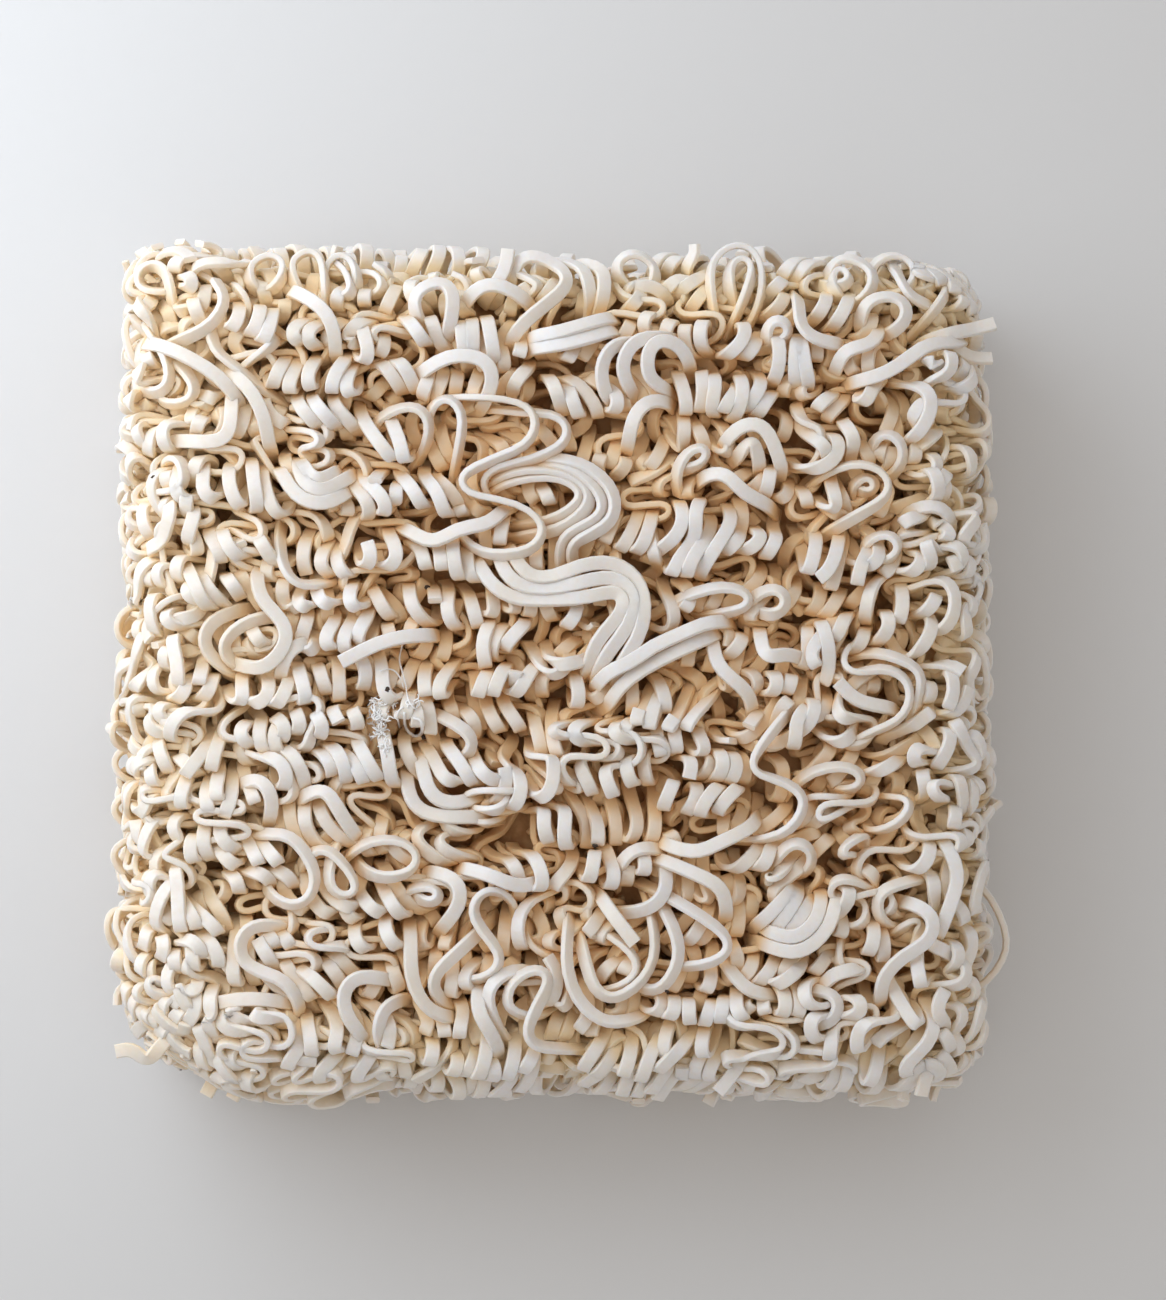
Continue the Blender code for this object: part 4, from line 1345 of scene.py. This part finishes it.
def ribbon_mesh(name, heap, runs, cover):
    """One mesh of all the runs, each a slice of the heap's points."""
    cut = section()
    facing = section_normals()
    sides = len(cut)
    places = [ring_places(heap, run) for run in runs]
    lengths = np.array([len(place) for place in places])
    last = np.cumsum(lengths) - 1
    first = last + 1 - lengths
    middle, along, across, normal = curve_at(heap, np.concatenate(places))
    rings = middle[:, None] + across[:, None] * cut[:, :1] + normal[:, None] * cut[:, 1:]
    rings = rings.reshape(-1, 3)
    normals = across[:, None] * facing[:, :1] + normal[:, None] * facing[:, 1:]
    normals = unit(normals).reshape(-1, 3)
    inner = np.ones(len(middle), bool)
    inner[last] = False
    here = np.flatnonzero(inner)[:, None] * sides
    turn = np.arange(sides)
    after = (turn + 1) % sides
    quads = np.stack([here + turn, here + after, here + sides + after, here + sides + turn], 2)
    starts = (first[:, None] * sides + turn[::-1]).ravel()
    ends = (last[:, None] * sides + turn).ravel()
    corners = np.concatenate([quads.ravel(), starts, ends]).astype(np.int32)
    caps = [np.repeat(-along[first], sides, axis=0), np.repeat(along[last], sides, axis=0)]
    corner_normals = np.concatenate([normals[quads.ravel()], *caps])
    counts = np.concatenate([np.full(quads.size // 4, 4), np.full(2 * len(runs), sides)])
    mesh = mesh_of_faces(name, rings, corners, counts, corner_normals)
    # Depth, facing and cover are read by the material to paint shade.
    depth, way = outline_depth(middle)
    add_values(mesh, "depth", np.repeat(depth, sides))
    add_values(mesh, "facing", (normals * np.repeat(way, sides, axis=0)).sum(1))
    add_values(mesh, "cover", cover(rings))
    add_values(mesh, "strand", np.repeat(strand_number(heap, places), sides))
    unroll(mesh, middle, first, last, inner, cut)
    return mesh


# Torn fibres, specks and a painted-shadow speck


def top_at(heap, x, y):
    """How high the uppermost strand reaches near a place."""
    near = np.hypot(heap.points[:, 0] - x, heap.points[:, 1] - y) < 0.55 * STRAND_WIDTH
    return heap.points[near, 2].max() + STRAND_THICKNESS / 2


def hair(chance, start, length):
    """A curly line of places that stays nearly level, from a start on."""
    at = np.linspace(0, length, FIBRE_POINTS)
    heading = chance.uniform(0, TAU)
    heading = heading + FIBRE_TURN * smooth_noise(chance, 0.8 * length, 3 * length)(at)
    rise = FIBRE_RISE * smooth_noise(chance, 0.8 * length, 2 * length)(at)
    ways = np.stack([np.cos(heading), np.sin(heading), rise], 1)
    return start + np.cumsum(ways, axis=0) * length / len(at)


def draped(heap, places, rounds, lift):
    """A line over given places in X and Y that lies on the strands, evened out in height."""
    heights = [top_at(heap, *place) for place in places]
    for _ in range(rounds):
        heights = np.convolve(np.pad(heights, 1, "edge"), (0.25, 0.5, 0.25), "valid")
    return np.column_stack([places, heights + lift])


def thin_lines(heap, chance):
    """The radius and the places of each thin thread and each torn fibre."""
    for radius, corners in THREADS:
        places = on_block(smooth_curve(corners)[::4], 0)
        yield radius, draped(heap, places, THREAD_ROUNDS, radius)
    for middle, spread, count in FIBRE_PATCHES:
        for _ in range(count):
            place = on_block(np.array(middle) + chance.normal(0, 0.6 * spread, 2), 0)
            start = np.array([*place, top_at(heap, *place) + chance.uniform(-0.1, 0.1)])
            yield FIBRE_RADIUS, hair(chance, start, chance.uniform(*FIBRE_LENGTHS))


def add_fibres(heap, chance):
    """Torn fibres and threads: thin tubes that lie on the strands."""
    bm = bmesh.new()
    for radius, curve in thin_lines(heap, chance):
        along = unit(np.gradient(curve, axis=0))
        flat = unit(np.cross(along, (0.0, 0.0, 1.0)))
        up = np.cross(flat, along)
        thinning = radius * np.sin(np.linspace(0.4, math.pi - 0.4, len(curve)))[:, None] ** 0.5
        turns = np.arange(FIBRE_SIDES) * TAU / FIBRE_SIDES
        ring = [curve + thinning * (math.cos(turn) * flat + math.sin(turn) * up) for turn in turns]
        rings = [[bm.verts.new(place * MM) for place in places] for places in np.stack(ring, 1)]
        for one, two in zip(rings, rings[1:]):
            for side in range(FIBRE_SIDES):
                after = (side + 1) % FIBRE_SIDES
                bm.faces.new([one[side], one[after], two[after], two[side]])
        bm.faces.new(rings[0][::-1])
        bm.faces.new(rings[-1])
    bmesh.ops.recalc_face_normals(bm, faces=bm.faces)
    mesh = mesh_from(bm, "torn_fibres")
    mesh.shade_smooth()
    return linked_object(mesh, fibre_material())


def add_specks_and_shade_hole(heap, chance):
    """Dark specks of scorched flour on the strands, and one painted shadow: a dark speck where a deep
    hole shows dark.
    """
    bm = bmesh.new()
    for place in SPECKS_AND_SHADE_HOLE:
        x, y = on_block(np.array(place), 0)
        made = bmesh.ops.create_icosphere(bm, subdivisions=2, radius=SPECK_SIZE * MM)["verts"]
        middle = Vector((x, y, top_at(heap, x, y))) * MM
        stretch = [chance.uniform(0.7, 1.3), chance.uniform(0.6, 1.1), 0.45]
        for vert in made:
            uneven = chance.uniform(0.8, 1.15)
            vert.co = middle + Vector([uneven * a * b for a, b in zip(vert.co, stretch)])
    return linked_object(mesh_from(bm, "specks"), speck_material())


def visible_runs(heap):
    """Slices of each strand that lie near enough to the surface to be seen."""
    depth, way = outline_depth(heap.points)
    shown = depth < shown_depth(way)
    breaks = np.flatnonzero((heap.owner[1:] != heap.owner[:-1]) | (shown[1:] != shown[:-1])) + 1
    runs = np.split(np.arange(len(shown)), breaks)
    return [run for run in runs if shown[run[0]] and len(run) >= SHORTEST_RUN]


# Looks


class Nodes:
    """Short ways to add a material's nodes and links."""

    def __init__(self, name):
        self.material = bpy.data.materials.new(name)
        self.material.use_nodes = True
        self.tree = self.material.node_tree
        self.shader = self.tree.nodes["Principled BSDF"]

    def feed(self, socket, value):
        if isinstance(value, bpy.types.NodeSocket):
            self.tree.links.new(value, socket)
        else:
            socket.default_value = value

    def place(self):
        return self.tree.nodes.new("ShaderNodeTexCoord").outputs["Object"]

    def value(self, name):
        node = self.tree.nodes.new("ShaderNodeAttribute")
        node.attribute_name = name
        return node.outputs["Fac"]

    def part(self, vector, axis):
        node = self.tree.nodes.new("ShaderNodeSeparateXYZ")
        self.feed(node.inputs[0], vector)
        return node.outputs[axis]

    def noise(self, vector, scale, detail):
        node = self.tree.nodes.new("ShaderNodeTexNoise")
        self.feed(node.inputs["Vector"], vector)
        node.inputs["Scale"].default_value = scale
        node.inputs["Detail"].default_value = detail
        return node.outputs["Fac"]

    def between(self, value, low, high, to_low=0.0, to_high=1.0):
        node = self.tree.nodes.new("ShaderNodeMapRange")
        node.interpolation_type = "SMOOTHSTEP" if low < high else "LINEAR"
        self.feed(node.inputs["Value"], value)
        limits = {"From Min": low, "From Max": high, "To Min": to_low, "To Max": to_high}
        for name, number in limits.items():
            node.inputs[name].default_value = number
        return node.outputs["Result"]

    def sum(self, *values):
        total = values[0]
        for value in values[1:]:
            total = self.math("ADD", total, value)
        return total

    def math(self, operation, a, b):
        node = self.tree.nodes.new("ShaderNodeMath")
        node.operation = operation
        self.feed(node.inputs[0], a)
        self.feed(node.inputs[1], b)
        return node.outputs[0]

    def mix(self, share, a, b):
        node = self.tree.nodes.new("ShaderNodeMix")
        node.data_type = "RGBA"
        self.feed(node.inputs["Factor"], share)
        self.feed(node.inputs["A"], a)
        self.feed(node.inputs["B"], b)
        return node.outputs["Result"]

    def bump(self, height, strength, distance):
        node = self.tree.nodes.new("ShaderNodeBump")
        self.feed(node.inputs["Height"], height)
        node.inputs["Strength"].default_value = strength
        node.inputs["Distance"].default_value = distance
        return node.outputs["Normal"]


def noodle_material():
    """Dried noodle: cream white outside, with painted shade that makes it warmer and darker deeper in
    the block, under other strands and on faces turned inwards, and painted light that makes its left
    lighter.
    """
    nodes = Nodes("noodle_dough")
    place = nodes.place()
    strand = nodes.value("strand")
    depth = nodes.value("depth")
    blotches = nodes.noise(place, BLOTCH_SCALE, 3.0)
    mottle = nodes.noise(place, MOTTLE_SCALE, 3.0)
    # Painted light: the left turns lighter and warmer, and its shade a bright peach.
    left = nodes.between(nodes.part(place, "X"), *PAINTED_LEFT_LIGHT_ZONE, 1.0, 0.0)
    cream = nodes.mix(nodes.between(left, 0.0, 1.0, 0.0, 0.8), CREAM, LEFT_PAINTED_LIGHT_CREAM)
    cream = nodes.mix(nodes.between(blotches, 0.35, 0.7), cream, WARM_CREAM)
    cream = nodes.mix(nodes.between(strand, 0.1, 1.0, 0.0, 0.35), cream, PALE_CREAM)
    # Painted shade: warmer and darker where strands lie over a place, deeper in the block, and on
    # faces turned inwards.
    cover = nodes.value("cover")
    side_shade = nodes.between(nodes.value("facing"), 0.75, -0.2, 0.0, 0.13)
    sunk = nodes.between(depth, 0.6, 6.0, 0.0, 0.42)
    # Painted glow: more of the bright peach shade colour on the left.
    left_painted_glow = nodes.between(left, 0.0, 1.0, 0.0, 0.09)
    painted_shade = nodes.between(nodes.sum(cover, sunk, side_shade, left_painted_glow), *PAINTED_SHADE_RANGE)
    aways = [nodes.math("ABSOLUTE", nodes.part(place, axis), 0) for axis in "XY"]
    # Near the edges the painted shade is lighter and yellower; on the left it is the painted glow.
    rim = nodes.between(nodes.math("MAXIMUM", *aways), *RIM_SHADE_ZONE, 0.0, 0.7)
    deep = nodes.mix(left, nodes.mix(rim, PAINTED_SHADE_TAN, RIM_PAINTED_SHADE_TAN), LEFT_PAINTED_GLOW_TAN)
    # The painted shade mixes the cream towards the shade colours.
    colour = nodes.mix(painted_shade, cream, deep)
    colour = nodes.mix(nodes.between(mottle, 0.3, 0.75, 0.0, 0.16), colour, OIL_TAN)
    nodes.feed(nodes.shader.inputs["Base Color"], colour)
    gloss = nodes.between(nodes.sum(mottle, blotches), 0.6, 1.4, 0.40, 0.58)
    nodes.feed(nodes.shader.inputs["Roughness"], gloss)
    nodes.feed(nodes.shader.inputs["Normal"], nodes.bump(mottle, 0.6, MOTTLE_HEIGHT))
    nodes.shader.inputs["Subsurface Weight"].default_value = SUBSURFACE
    nodes.shader.inputs["Subsurface Radius"].default_value = SUBSURFACE_RADIUS
    nodes.shader.inputs["Subsurface Scale"].default_value = SUBSURFACE_SCALE
    return nodes.material


def fibre_material():
    """Torn dough: nearly white."""
    nodes = Nodes("noodle_fibre")
    streaks = nodes.noise(nodes.place(), 1500.0, 2.0)
    nodes.feed(nodes.shader.inputs["Base Color"], nodes.mix(streaks, FIBRE_WHITE, PALE_CREAM))
    nodes.shader.inputs["Roughness"].default_value = 0.6
    return nodes.material


def speck_material():
    nodes = Nodes("noodle_speck")
    grain = nodes.noise(nodes.place(), 4000.0, 2.0)
    nodes.feed(nodes.shader.inputs["Base Color"], nodes.mix(grain, SPECK_BROWN, SPECK_BLACK))
    nodes.shader.inputs["Roughness"].default_value = 0.7
    return nodes.material


def core_material():
    """What shows of the block's middle through the gaps: more strands, in painted shade, darker and
    warmer than the dough.
    """
    nodes = Nodes("noodle_core_painted_shade")
    place = nodes.place()
    bands = nodes.noise(place, 420.0, 3.0)
    colour = nodes.mix(nodes.between(bands, 0.4, 0.62), CORE_SHADE_DARK, CORE_SHADE_TAN)
    nodes.feed(nodes.shader.inputs["Base Color"], colour)
    nodes.shader.inputs["Roughness"].default_value = 0.7
    nodes.feed(nodes.shader.inputs["Normal"], nodes.bump(bands, 0.8, 0.0006))
    return nodes.material


def add_core(chance):
    """A rounded block under the strands, with a relief like theirs."""
    bpy.ops.mesh.primitive_cube_add(size=1.0)
    core = bpy.context.object
    core.name = "core"
    bm = bmesh.new()
    bm.from_mesh(core.data)
    bmesh.ops.subdivide_edges(bm, edges=bm.edges, cuts=CORE_CUTS, use_grid_fill=True)
    bm.to_mesh(core.data)
    bm.free()
    places = np.empty(len(core.data.vertices) * 3, np.float32)
    core.data.vertices.foreach_get("co", places)
    places = places.reshape(-1, 3) * 2.0
    low, high = BASE_DEPTH, HEIGHT - TOP_DEPTH
    half = np.array([LENGTH / 2 - WALL_DEPTH, WIDTH / 2 - WALL_DEPTH, (high - low) / 2])
    facing = unit(places**CORE_ROUNDNESS)
    plan = plane_noise(chance, *CORE_WAVERS)
    sides = plane_noise(chance, *CORE_WAVERS)
    middle = places * half + [0, 0, (low + high) / 2]
    x, y, z = middle.T
    relief = CORE_RELIEF * (0.5 * plan(x, y) + 0.5 * sides(z, x + y))
    middle = middle + facing * (relief - CORE_RELIEF)[:, None]
    for _ in range(3):
        depth, way = outline_depth(middle)
        middle = middle - way * np.maximum(BASE_DEPTH - depth, 0)[:, None]
    core.data.vertices.foreach_set("co", (middle * MM).astype(np.float32).ravel())
    core.data.shade_smooth()
    core.data.materials.append(core_material())
    return core


def add_floor():
    bpy.ops.mesh.primitive_plane_add(size=3.0)
    floor = bpy.context.object
    floor.name = "floor"
    material = bpy.data.materials.new("floor")
    material.use_nodes = True
    shader = material.node_tree.nodes["Principled BSDF"]
    shader.inputs["Base Color"].default_value = FLOOR_GREY
    shader.inputs["Roughness"].default_value = 0.6
    floor.data.materials.append(material)


def add_light(name, place, size, power, colour):
    """A soft square light that shines on the block and isn't seen itself."""
    light = bpy.data.lights.new(name, "AREA")
    light.size = size
    light.energy = power
    light.color = colour
    lamp = bpy.data.objects.new(name, light)
    lamp.visible_camera = False
    lamp.location = place
    lamp.rotation_euler = (-Vector(place)).to_track_quat("-Z", "Y").to_euler()
    bpy.context.collection.objects.link(lamp)


def add_world():
    world = bpy.data.worlds.new("studio")
    world.use_nodes = True
    background = world.node_tree.nodes["Background"]
    background.inputs["Color"].default_value = SKY
    background.inputs["Strength"].default_value = SKY_STRENGTH
    world.cycles.sampling_method = "NONE"
    bpy.context.scene.world = world


def set_look():
    """Shows colours as they are lit, without a film's response, and spares needless samples."""
    bpy.context.scene.view_settings.view_transform = "Standard"
    cycles = bpy.context.scene.cycles
    cycles.max_bounces = 5
    cycles.adaptive_threshold = 0.05
    cycles.adaptive_min_samples = 16


def add_camera():
    camera_data = bpy.data.cameras.new("camera")
    camera_data.sensor_fit = "VERTICAL"
    camera_data.sensor_height = SENSOR_HEIGHT
    distance = VIEW_DISTANCE * MM
    camera_data.lens = SENSOR_HEIGHT * distance / PICTURE_HEIGHT
    camera = bpy.data.objects.new("camera", camera_data)
    elevation, azimuth = math.radians(CAMERA_ELEVATION), math.radians(CAMERA_AZIMUTH)
    way = Vector(
        (
            math.cos(elevation) * math.sin(azimuth),
            -math.cos(elevation) * math.cos(azimuth),
            math.sin(elevation),
        )
    )
    camera.location = Vector(CAMERA_AIM) + way * distance
    # The picture's top stays along +Y, so the camera isn't turned about its own line of sight.
    back = way.normalized()
    right = Vector((0, 1, 0)).cross(back).normalized()
    up = back.cross(right)
    camera.rotation_euler = Matrix((right, up, back)).transposed().to_euler()
    bpy.context.collection.objects.link(camera)
    bpy.context.scene.camera = camera


def hand_over(thing):
    """Makes a piece stand in for the block, and move with it."""
    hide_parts("noodle_block")
    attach(thing, "root")


def add_strands(heap):
    """All strands, as one piece for each quarter of the upper and the lower half."""
    runs = visible_runs(heap)
    cover = cover_over(heap)
    material = noodle_material()
    middle = np.array([heap.points[run].mean(0) for run in runs])
    part = (middle[:, 2] < HEIGHT / 2) * 4 + (middle[:, 0] > 0) * 2 + (middle[:, 1] > 0)
    places = itertools.product(("upper", "lower"), ("left", "right"), ("near", "far"))
    for number, place in enumerate(places):
        chosen = [run for run, at in zip(runs, part) if at == number]
        mesh = ribbon_mesh("strands_" + "_".join(place), heap, chosen, cover)
        hand_over(linked_object(mesh, material))


def main():
    chance = np.random.default_rng(SEED)
    seen = lay_seen(chance)
    strands = lay_belt(chance) + lay_walls(chance) + lay_under(chance)
    strands += lay_inner(np.random.default_rng(SEED + 1))
    strands = without_middle(break_up(strands, chance))
    make_room(strands, seen)
    strands = [np.column_stack([strand, np.zeros((len(strand), 2))]) for strand in strands] + seen
    heap = press(strands, chance)
    add_strands(heap)
    hand_over(add_core(chance))
    hand_over(add_fibres(heap, chance))
    hand_over(add_specks_and_shade_hole(heap, chance))
    add_floor()
    add_world()
    for name, light in LIGHTS.items():
        add_light(name, *light)
    add_camera()
    set_look()


main()
